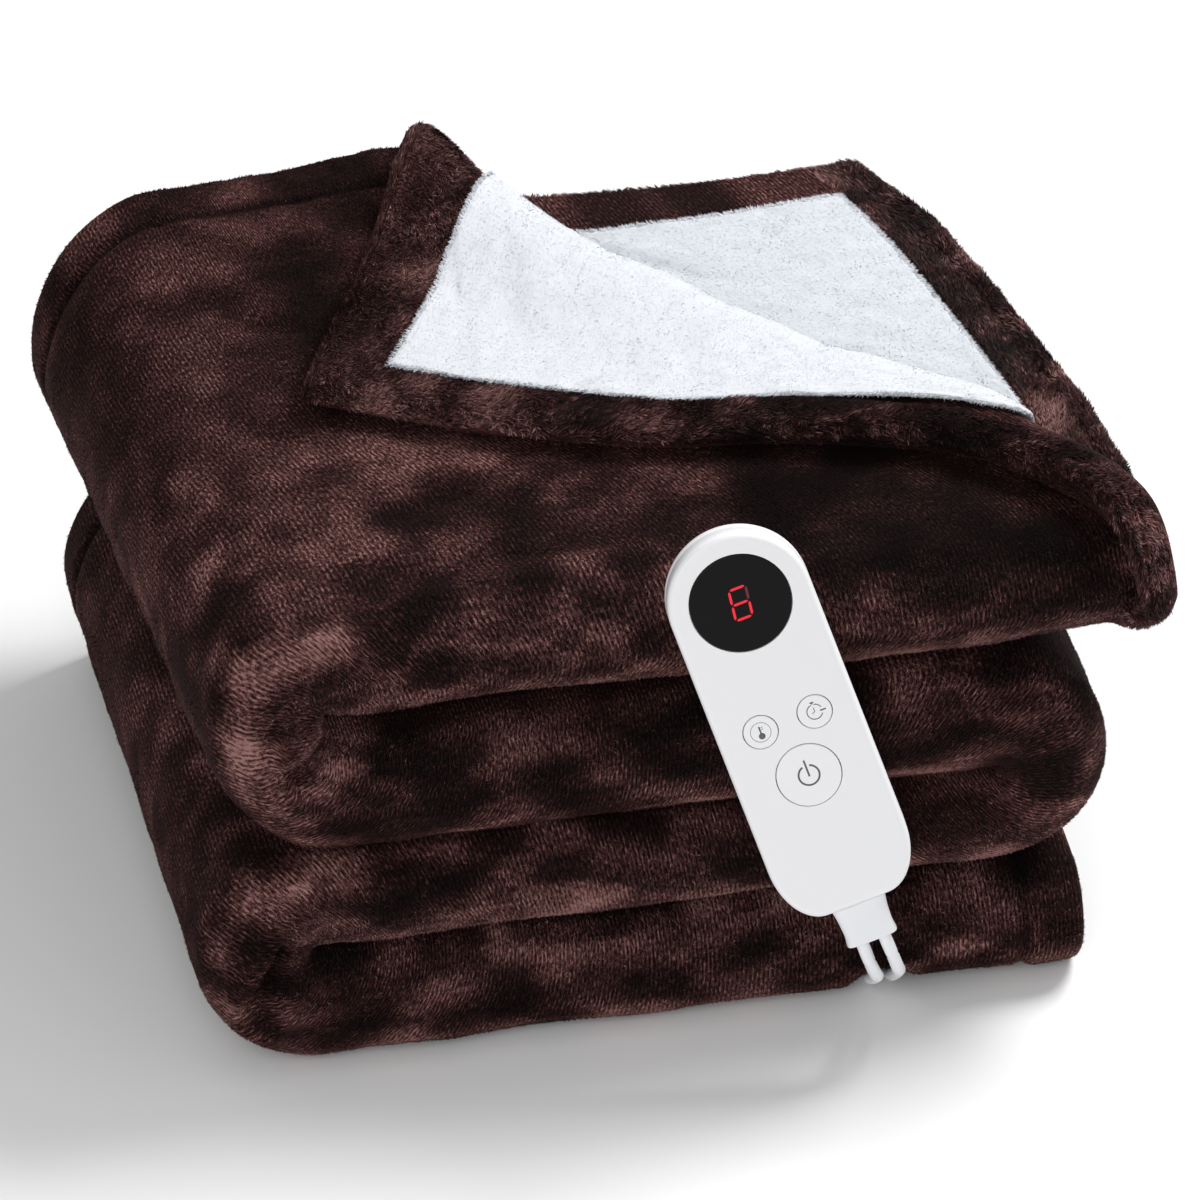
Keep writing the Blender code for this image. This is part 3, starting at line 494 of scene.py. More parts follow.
def end_x(y):
    """x of the topmost layer's right end."""
    return read_table(y, END_Y, END_X)


def topmost_face(x, y, height):
    """A point at a height above the topmost ply's middle. Where y is below the
    front fold's middle, the rest of it goes round the fold as an arc length."""
    fraction = np.clip((y - FRONT_MIDDLE) / (BACK_Y[-1] - FRONT_MIDDLE), 0, 1)
    shift = (front_y(3, x) + PACK / 2 - FRONT_MIDDLE) * (1 - fraction)
    angle = np.clip(FRONT_MIDDLE - y, 0, None) / (PACK / 2)
    reach = OUTER_FOLD + height
    flat = np.maximum(y, FRONT_MIDDLE)
    return np.stack(
        [x, flat + shift - reach * np.sin(angle), layer_height(3) + reach * np.cos(angle)], axis=-1
    )


def roll_sizes(y):
    """For each line: where it rolls over, that ridge's slope, and the roll's radius."""
    ridge = read_table(y, FLAP_Y, FLAP_RIDGE_X)
    ahead, behind = (read_table(y + way, FLAP_Y, FLAP_RIDGE_X) for way in (RIDGE_STEP, -RIDGE_STEP))
    radius = ROLL_FRONT + (ROLL_BACK - ROLL_FRONT) * ease(y, *ROLL_WIDENS)
    return ridge, (ahead - behind) / (2 * RIDGE_STEP), radius


def flap_length(y):
    """How far the sheet reaches past its roll, on each line."""
    hem_x, hem_y = read_table(y, FLAP_Y, FLAP_HEM_X), read_table(y, FLAP_Y, FLAP_HEM_Y)
    return np.hypot(hem_x - read_table(y, FLAP_Y, FLAP_RIDGE_X), hem_y - y)


def peeled_line(y, s):
    """The topmost ply's middle on the line y, at a way s past its ridge: flat
    before it, a half circle of the roll's radius, then straight to the hem."""
    ridge, slope, radius = roll_sizes(y)
    hem_x, hem_y = read_table(y, FLAP_Y, FLAP_HEM_X), read_table(y, FLAP_Y, FLAP_HEM_Y)
    norm = np.sqrt(1 + slope**2)
    down = (-slope / norm, -1 / norm)
    out = (1 / norm, -slope / norm)
    way = (hem_x - ridge, hem_y - y)
    drift_out = (way[0] * down[0] + way[1] * down[1]) / -(way[0] * out[0] + way[1] * out[1])
    drift_out = np.clip(drift_out, *DRIFT_RANGE)
    turned = np.clip(s / radius, 0, math.pi)
    drift = radius * (-slope * turned + (drift_out + slope) * turned**2 / (2 * math.pi))
    x = ridge + np.minimum(s, 0) + out[0] * radius * np.sin(turned) + down[0] * drift
    at_y = y + out[1] * radius * np.sin(turned) + down[1] * drift
    height = radius * (1 - np.cos(turned))
    past = np.maximum(s - math.pi * radius, 0)
    share = np.clip(past / np.maximum(flap_length(y), 1e-6), 0, 1)
    lying = PLY + FLAP_GAP
    height = np.where(past > 0, 2 * radius + (lying - 2 * radius) * ease(past, 0, FLAP_SETTLE), height)
    return topmost_face(x + (hem_x - x) * share, at_y + (hem_y - at_y) * share, height)

print("the peeled corner reaches", round(float(flap_length(np.array(FLAP_Y[0]))) * 1000), "mm past its roll")

# %% [markdown]
# ## The sheet itself
#
# Every point is worked out from its two numbers in one go, as whole arrays.
# The middle of the sheet comes first. Its two faces are offset from it by half
# the ply, less near a cut edge, which makes the hems round.

# %% The sheet's middle surface
LAYER_OF = (0, 0, 1, 1, 2, 2, 3, 3, 3)  # the layer at which each stretch starts
TURNS = {1: "low left", 3: "right", 5: "high left"}


def turned_stretch(stretch, f, fraction, shift, height):
    """A U-turn: the pack's section swung round the turn's middle, from one
    layer to the next, by half a circle."""
    turn, first = TURNS[stretch], LAYER_OF[stretch]
    blend = ease(f, 0, 1)
    x_guess = turn_x(turn, 0)
    front = front_y(first, x_guess) * (1 - blend) + front_y(first + 1, x_guess) * blend
    back = BACK_Y[first] * (1 - blend) + BACK_Y[first + 1] * blend
    back = back - (0 if turn == "right" else TURN_PULL) * np.sin(math.pi * f)
    y = (front + PACK / 2) * (1 - fraction) + back * fraction + shift
    side = 1 if turn == "right" else -1
    swing = math.pi * (f - 0.5)
    reach = TURN - side * height
    x = turn_x(turn, y) + side * reach * np.cos(swing)
    return np.stack(np.broadcast_arrays(x, y, layer_height(first) + TURN + reach * np.sin(swing)), axis=-1)


def flat_stretch(stretch, f, fraction, shift, height):
    """A layer: the pack's section moved straight along it."""
    layer = LAYER_OF[stretch]
    ends = {
        0: (LOW_END, turn_x("low left", 0)),
        2: (turn_x("low left", 0), turn_x("right", 0)),
        4: (turn_x("right", 0), turn_x("high left", 0)),
        6: (turn_x("high left", 0), END_GUESS),
        7: (END_GUESS, END_GUESS),
        8: (END_GUESS, END_GUESS),
    }[stretch]
    front = front_y(layer, ends[0] + (ends[1] - ends[0]) * f)
    y = (front + PACK / 2) * (1 - fraction) + BACK_Y[layer] * fraction + shift
    if stretch == 0:
        start, stop = LOW_END + 0 * y, turn_x("low left", y)
    elif stretch < 6:
        start, stop = (turn_x(TURNS[stretch + way], y) for way in (-1, 1))
    else:
        start, stop = turn_x("high left", y), end_x(y) - TAIL
    if stretch == 7:
        x = stop + TAIL * 0.5 * f
    elif stretch == 8:
        x = stop + TAIL * (0.5 + 0.5 * f)
    else:
        x = start + (stop - start) * f
    upright = 1 if layer % 2 else -1
    return np.stack(np.broadcast_arrays(x, y, layer_height(layer) + upright * height), axis=-1)


def sheet_middle():
    """The whole sheet: its stretches one after the other, and the peeled
    corner blended in on the lines of the topmost ply."""
    fraction, shift, height, angle = (lines[:, k][None, :] for k in range(4))
    peel_y = FRONT_MIDDLE + fraction * (BACK_Y[-1] - FRONT_MIDDLE) - PACK / 2 * angle
    peeled = ease(peel_y, ROLL_LAST_Y, FLAP_Y[-1]) * (np.arange(len(lines)) < last_front)
    parts = []
    for stretch in range(len(ALONG_STEPS)):
        f = stations[stations[:, 0] == stretch, 1][:, None]
        shape = turned_stretch if stretch in TURNS else flat_stretch
        points = shape(stretch, f, fraction, shift, height)
        if stretch >= 6:
            ridge, _, radius = roll_sizes(peel_y)
            way = {
                6: (turn_x("high left", peel_y) - ridge) * (1 - f),
                7: math.pi * radius * f,
                8: math.pi * radius + flap_length(peel_y) * f,
            }[stretch]
            corner = peeled_line(np.broadcast_to(peel_y, way.shape), way)
            points = points + (corner - points) * peeled[..., None]
        parts.append(points)
    return np.concatenate(parts)


middle = sheet_middle()
path_along = np.linalg.norm(np.diff(middle, axis=0), axis=-1)
path_across = np.linalg.norm(np.diff(middle, axis=1), axis=-1)
arc_along = np.concatenate([[0], np.cumsum(path_along.mean(axis=1))])
arc_across = np.concatenate([[0], np.cumsum(path_across.mean(axis=0))])
print("laid flat the sheet is", round(arc_across[-1], 3), "by", round(arc_along[-1], 3), "m")

# %% [markdown]
# ## Loft and wrinkles
#
# A stack of plush cloth is nowhere quite straight. Five things are added: the
# arch over the leads that run under the stack, a slow swell that moves all
# plies together, so that none passes through its neighbour, the creases that the
# picture shows, each a soft trough or ridge along a short line, a fine
# unevenness of the outer face, and the shallow line of the hems' seam. A cloth
# simulation could do some of this, but it wouldn't put a crease where it belongs.

# %% Tables of the arch, the swells and the creases
ARCH_X, ARCH_HALF, ARCH_FADE = 0.2891, 0.0118, 0.055
ARCH_Y = (-0.020, -0.010, 0.000, 0.008, 0.016, 0.026, 0.036, 0.350)
ARCH_Z = (0.0370, 0.0290, 0.0205, 0.0145, 0.0098, 0.0078, 0.0072, 0.0072)
SWELLS = (  # wavelengths along x, y and z, phase, and the height, all of the slow swell
    (0.140, 0.400, 0.230, 0.4, 0.0008),
    (0.083, 0.190, 0.120, 2.1, 0.0005),
    (0.210, 0.110, 0.300, 4.0, 0.0007),
)
TOP_FLOOR = 3 * PITCH  # where the topmost layer starts
LOFT_FROM = TOP_FLOOR - 0.01  # the puffs start a little lower
PHASE_UP = 1.7  # a swell's phase for its push along z, as a multiple of that along y
SWELL_FADES = (0.05, 0.20)  # the push along y dies down between these y
SWELL_GROWS = (0.02, TOP_FLOOR)  # the push along z grows between these heights
TOP_CALMER = 0.8  # and is that much weaker on the very top
HANDSET_KEEP = ((0.245, 0.010), 0.075, 0.85)  # place, reach and how much calmer it is by the hand control
CREASES = (  # line (x, y, z), half width, height: below zero is a trough
    # where the upper crease of the folded fronts ends at the left
    (((0.0588, 0.0355, 0.1625), (0.0573, 0.0242, 0.1549), (0.0556, 0.0203, 0.1545)), 0.0032, -0.0040),
    (((0.0556, 0.0203, 0.1545), (0.0480, 0.0150, 0.1515), (0.0390, 0.0114, 0.1490)), 0.0028, -0.0085),
    (((0.0570, 0.0240, 0.1630), (0.0470, 0.0180, 0.1600), (0.0363, 0.0148, 0.1560)), 0.0058, 0.0062),
    (((0.0629, 0.0227, 0.1500), (0.0517, 0.0153, 0.1450)), 0.0052, 0.0044),
    (((0.0300, 0.0180, 0.1620), (0.0310, 0.0125, 0.1500), (0.0390, 0.0090, 0.1410)), 0.0042, -0.0034),
    (((0.0206, 0.0221, 0.1648), (0.0226, 0.0158, 0.1484), (0.0322, 0.0096, 0.1370)), 0.0060, 0.0028),
    # the lower one
    (((0.0329, 0.0049, 0.0628), (0.0244, 0.0011, 0.0482), (0.0201, 0.0013, 0.0425)), 0.0032, -0.0085),
    (((0.0265, 0.0045, 0.0625), (0.0185, 0.0020, 0.0510), (0.0140, 0.0030, 0.0430)), 0.0055, 0.0055),
    (
        (
            (0.0385, 0.0017, 0.0429),
            (0.0349, -0.0011, 0.0336),
            (0.0246, 0.0030, 0.0242),
            (0.0150, 0.0068, 0.0300),
        ),
        0.0055,
        0.0052,
    ),
    (((0.0190, 0.0022, 0.0378), (0.0235, 0.0010, 0.0340)), 0.0044, -0.0060),
    (((0.0516, 0.0070, 0.0719), (0.0643, 0.0066, 0.0728)), 0.0026, -0.0016),
    # on the top
    (((0.0623, 0.2543, 0.2081), (0.0881, 0.2442, 0.2082)), 0.0042, -0.0030),
    (((0.0632, 0.0496, 0.2048), (0.1265, 0.0692, 0.2067), (0.1837, 0.0786, 0.2066)), 0.0090, -0.0026),
    (((0.0600, 0.0330, 0.2030), (0.1250, 0.0520, 0.2060), (0.1850, 0.0590, 0.2066)), 0.0110, 0.0020),
    (((0.0956, 0.1041, 0.2068), (0.1421, 0.1232, 0.2067)), 0.0065, -0.0020),
    (((0.0150, 0.1500, 0.1900), (0.0400, 0.0900, 0.2040)), 0.0090, -0.0018),
    (((0.3000, 0.0300, 0.2060), (0.3700, 0.0200, 0.2020)), 0.0070, -0.0018),
)

print(len(CREASES), "creases,", len(SWELLS), "swells")


# %% Arch, swell and waves as functions
def arch(points):
    """Lifts the lowest layer over the leads: by what its outside lacks to the
    arch's height at its middle, and less and less upwards and sideways, where
    it falls off as exp(-d⁴)."""
    x, y, z = points[..., 0], points[..., 1], points[..., 2]
    round_front = PACK / 2 - np.sqrt(np.clip((PACK / 2) ** 2 - (PACK / 2 - y) ** 2, 0, None))
    outside = np.where(y < PACK / 2, round_front, 0.0)
    lack = np.maximum(read_table(y, ARCH_Y, ARCH_Z) - outside, 0)
    aside = np.exp(-np.abs((x - ARCH_X) / ARCH_HALF) ** 4)
    lifted = points.copy()
    lifted[..., 2] += lack * aside * (1 - ease(z, 0, ARCH_FADE)) * (y > ARCH_Y[0])
    return lifted


def swell(points):
    """A sum of sine waves through space, pushed along y and z together, and the
    topmost layer's own loft."""
    x, y, z = points[..., 0], points[..., 1], points[..., 2]
    loft = sum(
        height * bell((x - at_x) / wide, (y - at_y) / deep) for at_x, at_y, wide, deep, height in PUFFS
    )
    moved = points.copy()
    moved[..., 2] += ease(z, LOFT_FROM, HEIGHT) * loft
    (keep_x, keep_y), keep, most = HANDSET_KEEP
    calm = 1 - most * np.exp(-((x - keep_x) ** 2 + (y - keep_y) ** 2) / keep**2)
    for long_x, long_y, long_z, phase, height in SWELLS:
        wave = np.sin(2 * math.pi * (x / long_x + z / long_z) + phase)
        moved[..., 1] += calm * height * wave * (1 - ease(y, *SWELL_FADES))
        wave = np.sin(2 * math.pi * (x / long_x + y / long_y) + PHASE_UP * phase)
        grown = ease(z, *SWELL_GROWS) * (1 - TOP_CALMER * ease(z, TOP_FLOOR, HEIGHT))
        moved[..., 2] += calm * height * wave * grown
    return moved


def near_line(points, line, width):
    """exp(-(d / width)²), with d the distance to the nearest of a line's pieces."""
    nearest = np.full(points.shape[:-1], np.inf)
    for start, end in zip(np.array(line), np.array(line[1:])):
        way = end - start
        t = np.clip(((points - start) @ way) / (way @ way), 0, 1)[..., None]
        nearest = np.minimum(nearest, ((points - start - way * t) ** 2).sum(axis=-1))
    return np.exp(-nearest / width**2)


WAVES = (3, 2.4, 2, 1.7, 1.4, 1.2, 1)  # heights; a wave is as much longer as it is higher
WAVE_LEVEL = 8.0  # what their sum is divided by, and the pace of the shortest
WAVE_BEND = 1.3  # how much each wave bends the next


def wavy(u, v, seed):
    """Smooth unevenness, mostly between -1 and 1: a few sine waves in turned
    directions, each bent a little by the one before."""
    draw = np.random.default_rng(seed)
    total, bend = 0 * u, 0 * u
    for share in WAVES:
        turn, phase = draw.uniform(0, math.pi), draw.uniform(0, 2 * math.pi)
        onward = (u * math.cos(turn) + v * math.sin(turn)) * (WAVE_LEVEL / share)
        wave = np.sin(onward + phase + WAVE_BEND * bend)
        total, bend = total + wave * share, wave
    return total / WAVE_LEVEL

print(len(WAVES), "waves in each unevenness")

# %% [markdown]
# ## The sheet's two faces, and how its pile was stroked
#
# Flannel looks lighter or darker with the way its pile leans, so hands leave
# patches on it, which aren't folds. So each point of the cloth gets a tone, as an
# attribute: smooth noise with rather clear edges, a few broader places of painted
# light and painted shadow, and a little painted light on ridges and painted shade
# in troughs. The faces are made before the tones, which are read at their points.

# %% Tones of the stroked pile, and of the painted light and shade
LOCK_LEAN = math.radians(62)
MEAN_TONE = 0.46
SKIN_PAINTED_SHADE = 0.05  # painted shade on the ground between the locks, as if the locks shaded it
PATCH_EDGE = 3.5  # above 1, crushed patches have clearer edges
PATCHES = ((0.034, 0.12, 108), (0.016, 0.15, 83), (0.008, 0.10, 102))  # size, how much tone, seed
PATCH_FLOW = (0.75, 0.90, 1.30)  # below 1, patches are longer along that axis
NAP_REACH = 0.13  # over what length of cloth a turn's longer way is made up
PAINTED_LIGHT_AND_SHADE = (  # broad places, most of them painted light or painted shadow: middle (x, y, z), how far it reaches each way, tone
    # painted light on the lit top left and over its U-turn
    ((0.040, 0.240, 0.180), (0.070, 0.080, 0.150), 0.13),
    ((0.065, 0.120, 0.190), (0.060, 0.045, 0.100), 0.14),
    # painted light on the top, in front of the turned corner
    ((0.150, 0.104, 0.205), (0.060, 0.030, 0.050), 0.10),
    # painted shadow that the turned corner throws to its left
    ((0.100, 0.250, 0.205), (0.018, 0.060, 0.050), -0.28),
    # lighter on the topmost layer's front
    ((0.150, 0.015, 0.186), (0.080, 0.050, 0.024), 0.12),
    # painted shadow under the turned corner's front hem
    ((0.272, 0.088, 0.205), (0.070, 0.030, 0.080), -0.17),
    # painted shade at the right front, by the turned corner's end
    ((0.354, 0.045, 0.190), (0.065, 0.040, 0.080), -0.24),
)
CALM = ((0.050, 0.240), 0.110, 0.60)  # middle (x, y), reach, and how much weaker patches are there
LOW_TONE, LOW_FADE = 0.05, (0.020, 0.110)  # the lower layers are a little lighter
CREASE_PAINTED_SHADE = 36.0  # painted shade in troughs and painted light on ridges: tone for each metre of a crease's height
RIM_PAINTED_SHEEN, RIM_ANGLES, RIM_WIDE = 0.22, (0.85, 2.25), 0.42  # a painted sheen along the folds' lower rims, for the nap catching the light there
RIM_CHANGES = ((1.92, 2.06), (3.94, 4.08), (5.92, 6.06))  # where along the stretches it changes its angle
NAP_TURNS = ((0.034, 0.75, 60), (0.012, 0.55, 61))  # size, how much the lean turns, seed
NAP_LEAN = (0.020, 0.22, 62)  # size, how much its angle varies, seed
LATTICE = (61, 59, 53)  # the lattice of random numbers comes round again after so many cubes


def value_noise(points, size, seed):
    """Random numbers at the corners of a lattice of cubes, eased from one corner
    to the next: each place's value mixes its cube's eight, from -1 to 1."""
    table = np.random.default_rng(seed).uniform(-1, 1, LATTICE)
    at = points / size
    cube = np.floor(at).astype(int)
    t = ease(at - cube, 0, 1)
    total = np.zeros(points.shape[:-1])
    for corner in np.ndindex(2, 2, 2):
        i, j, k = np.moveaxis((cube + corner) % table.shape, -1, 0)
        total += np.prod(np.where(corner, t, 1 - t), axis=-1) * table[i, j, k]
    return total

print(len(PATCHES), "sizes of patches,", len(PAINTED_LIGHT_AND_SHADE), "broader shades")

# %% The sheet's two faces
UNEVEN, UNEVEN_REACH, UNEVEN_SEED = 0.0007, 0.030, 5
EDGE_LEAST = 0.08  # the share of its thickness that is left at a cut edge
# the hems' seam: its width, its groove's depth, and the painted shade along it, in tone
HEM_LINE_WIDE, HEM_LINE_DEEP, HEM_LINE_PAINTED_SHADE = 0.0024, 0.0022, 0.22
HEM_BAND, HEM_BAND_END, HEM_LOFT = 0.038, 0.027, 0.0026  # the bands beside the fleece stand proud of it
BAND_ROUND = 0.7  # below 1, a band is fuller than a sine


def end_share(distance):
    """How much of its thickness the sheet has at a distance from a cut edge:
    a quarter round."""
    round_edge = np.sqrt(1 - (1 - np.clip(distance / (PLY / 2), 0, 1)) ** 2)
    return round_edge * (1 - EDGE_LEAST) + EDGE_LEAST


along_share = end_share(np.minimum(arc_along, arc_along[-1] - arc_along))
across_share = end_share(np.minimum(arc_across, arc_across[-1] - arc_across))
thick = along_share[:, None] * across_share[None, :]
u_grid, v_grid = np.broadcast_arrays(arc_along[:, None], arc_across[None, :])

sheet_normal = grid_normals(middle)
outer = middle - sheet_normal * (PLY / 2) * thick[..., None]
inner = middle + sheet_normal * (PLY / 2) * thick[..., None]
to_hem = np.minimum(np.minimum(v_grid, arc_across[-1] - v_grid), np.minimum(u_grid, arc_along[-1] - u_grid))
on_hem_line = bell((to_hem - HEM_LINE) / HEM_LINE_WIDE)
push = UNEVEN * wavy(u_grid / UNEVEN_REACH, v_grid / UNEVEN_REACH, UNEVEN_SEED)
push = push - HEM_LINE_DEEP * on_hem_line
for line, width, height in CREASES:
    push = push + height * near_line(outer, line, width)
outer = outer - sheet_normal * (push * thick)[..., None]


def band(distance, wide):
    """The rounded loft of a hem band: 0 at the edge and at its inner seam."""
    t = np.clip(distance / wide, 0, 1)
    return np.sin(math.pi * t) ** BAND_ROUND


hem_loft = np.maximum(band(v_grid, HEM_BAND), band(arc_along[-1] - u_grid, HEM_BAND_END))
hem_loft = np.maximum(hem_loft, band(arc_across[-1] - v_grid, HEM_BAND_END))
inner = inner + sheet_normal * (HEM_LOFT * hem_loft * thick)[..., None]
outer, inner = (swell(arch(face)) for face in (outer, inner))
outer[..., 2] = np.maximum(outer[..., 2], 0.0)
outer_normal, inner_normal = -grid_normals(outer), grid_normals(inner)

print("the outer face reaches up to", round(float(outer[..., 2].max()) * 1000), "mm")


# %% Where and how the pile was stroked, and the painted light and shade
def nap_along(face):
    """How far along the cloth each place is, for the nap. Round a turn the
    outside is longer than the middle, so each line's own length is taken, less
    the slow part of its gain (a weighted mean over the line, a bell in shape)."""
    steps = np.linalg.norm(np.diff(face, axis=0), axis=-1)
    gain = np.concatenate([0 * steps[:1], np.cumsum(steps, axis=0)]) - arc_along[:, None]
    weight = bell((arc_along[:, None] - arc_along) / NAP_REACH) * np.gradient(arc_along)
    return u_grid + gain - (weight / weight.sum(axis=1, keepdims=True)) @ gain


def shaded(points):
    """Painted light and shade over broader places, each a bell shape in x, y and z,
    the lower layers a little lighter, and the painted shade of a trough and the
    painted light of a ridge."""
    broad = sum(
        tone * np.exp(-(((points - middle_at) / np.array(reach)) ** 2).sum(axis=-1))
        for middle_at, reach, tone in PAINTED_LIGHT_AND_SHADE
    )
    broad = broad + LOW_TONE * (1 - ease(points[..., 2], *LOW_FADE))
    creased = sum(height * near_line(points, line, width) for line, width, height in CREASES)
    # painted shade in the creases' troughs, painted light on their ridges
    return broad + CREASE_PAINTED_SHADE * creased


def stroked(u, v, points):
    """How the pile was last stroked: the turn of its lean, how far it leans,
    and its tone, each slowly varying over the cloth; the tone also holds the
    painted light and shade of shaded(). The patches are weaker in the calm place."""
    turn = sum(most * wavy(u / size, v / size, seed) for size, most, seed in NAP_TURNS)
    size, most, seed = NAP_LEAN
    lean = LOCK_LEAN + most * wavy(u / size, v / size, seed)
    patches = sum(
        most * np.tanh(PATCH_EDGE * value_noise(points * PATCH_FLOW, size, seed))
        for size, most, seed in PATCHES
    )
    (calm_x, calm_y), reach, share = CALM
    far = ((points[..., 0] - calm_x) ** 2 + (points[..., 1] - calm_y) ** 2) / reach**2
    # the stroked patches, plus the painted light and shade
    tone = MEAN_TONE + patches * (1 - share * np.exp(-far)) + shaded(points)
    return turn, lean, tone.reshape(np.shape(u))


def rim_painted_light():
    """A painted sheen along the lower rim of each folded front: at one angle round
    the fold on the layers that lie one way up, at the other on the rest."""
    way = (stations[:, 0] + stations[:, 1])[:, None]
    turned_up = sum(sign * ease(way, *change) for sign, change in zip((1, -1, 1), RIM_CHANGES))
    angle = lines[:, 3][None, :]
    rims = [bell((angle - at) / RIM_WIDE) for at in RIM_ANGLES]
    return RIM_PAINTED_SHEEN * (rims[0] * (1 - turned_up) + rims[1] * turned_up)


outer_painted_light = rim_painted_light() - HEM_LINE_PAINTED_SHADE * on_hem_line  # only on the outer face: painted sheen on the rims, painted shade along the hem line
print("tones from the rims and the hem line:", round(outer_painted_light.min(), 2), "to", round(outer_painted_light.max(), 2))


# %% The throw as one closed skin
def skin_faces(rows, columns):
    """Each row of points is one loop round the sheet, outer face and inner face:
    the loops' quads, and the two strips that close the first and the last."""
    sides = grid_faces(rows, columns, wrap_columns=True)[:, ::-1]
    j = np.arange(columns // 2 - 1)
    strip = np.stack([j, j + 1, columns - 2 - j, columns - 1 - j], axis=1)
    return np.concatenate([sides, strip[:, ::-1], strip + (rows - 1) * columns])


skin = np.concatenate([outer, inner[:, ::-1]], axis=1)
v_inner = 2 * arc_across[-1] - v_grid  # the inner face goes on past the hem, so its nap is its own
nap_outer, nap_inner = nap_along(outer), nap_along(inner)
nap_u = np.concatenate([nap_outer, nap_inner[:, ::-1]], axis=1)
skin_uv = np.stack([nap_u, np.concatenate([v_grid, v_inner[:, ::-1]], axis=1)], axis=-1)
throw_faces = skin_faces(*skin.shape[:2])
throw = make_mesh("throw", (skin - MIDDLE).reshape(-1, 3), throw_faces, skin_uv.reshape(-1, 2))
tone_here = throw.data.attributes.new("tone", "FLOAT", "POINT")
# the skin's tone: the stroked pile with its painted light and shade, less the painted shade between the
# locks
skin_tone = stroked(skin_uv[..., 0], skin_uv[..., 1], skin)[2] - SKIN_PAINTED_SHADE
# the outer face takes its painted rim sheen and painted seam shade
skin_tone[:, : len(lines)] += outer_painted_light
tone_here.data.foreach_set("value", np.ascontiguousarray(skin_tone, np.float32).ravel())
measured = bmesh.new()
measured.from_mesh(throw.data)
volume = measured.calc_volume(signed=True)
measured.free()
print("throw:", len(throw.data.polygons), "quads, holding", round(volume * 1000, 2), "litres")
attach(throw, "root")
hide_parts("blanket")

# %% [markdown]
# ## Cloth materials
#
# The flannel's nap is short and combed. Its tone starts from the attribute that
# the last step left on the cloth. A node group that all brown pieces share adds
# fine streaks along the nap and the knit's ribs under them, in the cloth's own
# UV, so both follow every fold. A second group turns a tone into a brown. The
# fleece is white and curly: two sizes of noise give its colour and its height.

# %% Node helpers
def srgb(red, green, blue):
    """A colour given as 0 to 255, in the linear light that shaders use."""
    share = np.array((red, green, blue)) / 255
    linear = np.where(share <= 0.04045, share / 12.92, ((share + 0.055) / 1.055) ** 2.4)
    return (*linear.tolist(), 1.0)


def node(tree, kind, inputs=(), **settings):
    """A new node with its settings, its inputs set or linked from sockets."""
    made = tree.nodes.new(kind)
    for key, value in settings.items():
        setattr(made, key, value)
    for socket, value in dict(inputs).items():
        if isinstance(value, bpy.types.NodeSocket):
            tree.links.new(value, made.inputs[socket])
        else:
            made.inputs[socket].default_value = value
    return made


def maths(tree, operation, a, b=0.0, c=0.0):
    """One step of arithmetic, as a socket."""
    return node(tree, "ShaderNodeMath", {0: a, 1: b, 2: c}, operation=operation).outputs[0]


def new_group(name, inputs, outputs):
    """An empty node group with the named sockets."""
    group = bpy.data.node_groups.new(name, "ShaderNodeTree")
    for side, sockets in (("INPUT", inputs), ("OUTPUT", outputs)):
        for label, kind in sockets.items():
            group.interface.new_socket(label, in_out=side, socket_type="NodeSocket" + kind)
    return group, group.nodes.new("NodeGroupInput").outputs, group.nodes.new("NodeGroupOutput").inputs


def new_material(name, constants=()):
    """A material, its node tree and its Principled shader, with constants set
    on the shader's own sockets."""
    material = bpy.data.materials.new(name)
    material.use_nodes = True
    shader = material.node_tree.nodes["Principled BSDF"]
    for socket, value in dict(constants).items():
        shader.inputs[socket].default_value = value
    return material, material.node_tree, shader


def add_bump(tree, shader, height, strength, distance):
    """Bends the shader's normal by a height."""
    bump = node(tree, "ShaderNodeBump", {"Height": height, "Strength": strength, "Distance": distance})
    tree.links.new(bump.outputs["Normal"], shader.inputs["Normal"])


def ramp(tree, value, stops):
    """A colour ramp through stops of (place, colour)."""
    made = node(tree, "ShaderNodeValToRGB", {"Fac": value})
    bar = made.color_ramp.elements
    bar[0].position, bar[0].color = stops[0]
    bar[1].position, bar[1].color = stops[-1]
    for place, color in stops[1:-1]:
        bar.new(place).color = color
    return made.outputs["Color"]

print("node helpers ready")

# %% The nap's tone and its brown
STREAK, STREAK_LONG, STREAK_TONE = 0.0008, 0.0023, 1.2
RIB, RIB_TONE, RIB_HEIGHT = 0.0019, 0.10, 0.1
NAP_BUMP = (0.5, 0.0006)  # strength, distance
BROWN_SHEEN = {"Sheen Weight": 0.12, "Sheen Roughness": 0.4}
BROWNS = (
    (0.00, srgb(5, 2, 2)),
    (0.25, srgb(15, 7, 7)),
    (0.50, srgb(37, 20, 19)),
    (0.75, srgb(80, 51, 49)),
    (1.00, srgb(146, 108, 104)),
)

nap, nap_in, nap_out = new_group(
    "nap", {"Cloth": "Vector", "Tone": "Float"}, {"Tone": "Float", "Height": "Float"}
)
combing = {0: nap_in["Cloth"], 1: (1 / STREAK, 1 / STREAK_LONG, 1.0)}
combed = node(nap, "ShaderNodeVectorMath", combing, operation="MULTIPLY").outputs[0]
streaking = {"Vector": combed, "Scale": 1.0, "Detail": 2.0, "Roughness": 0.6}
streaks = node(nap, "ShaderNodeTexNoise", streaking, noise_dimensions="2D").outputs["Fac"]
across = node(nap, "ShaderNodeSeparateXYZ", {0: nap_in["Cloth"]}).outputs["X"]
ribs = maths(nap, "SINE", maths(nap, "MULTIPLY", across, 2 * math.pi / RIB))
tone = maths(nap, "MULTIPLY_ADD", maths(nap, "SUBTRACT", streaks, 0.5), STREAK_TONE, nap_in["Tone"])
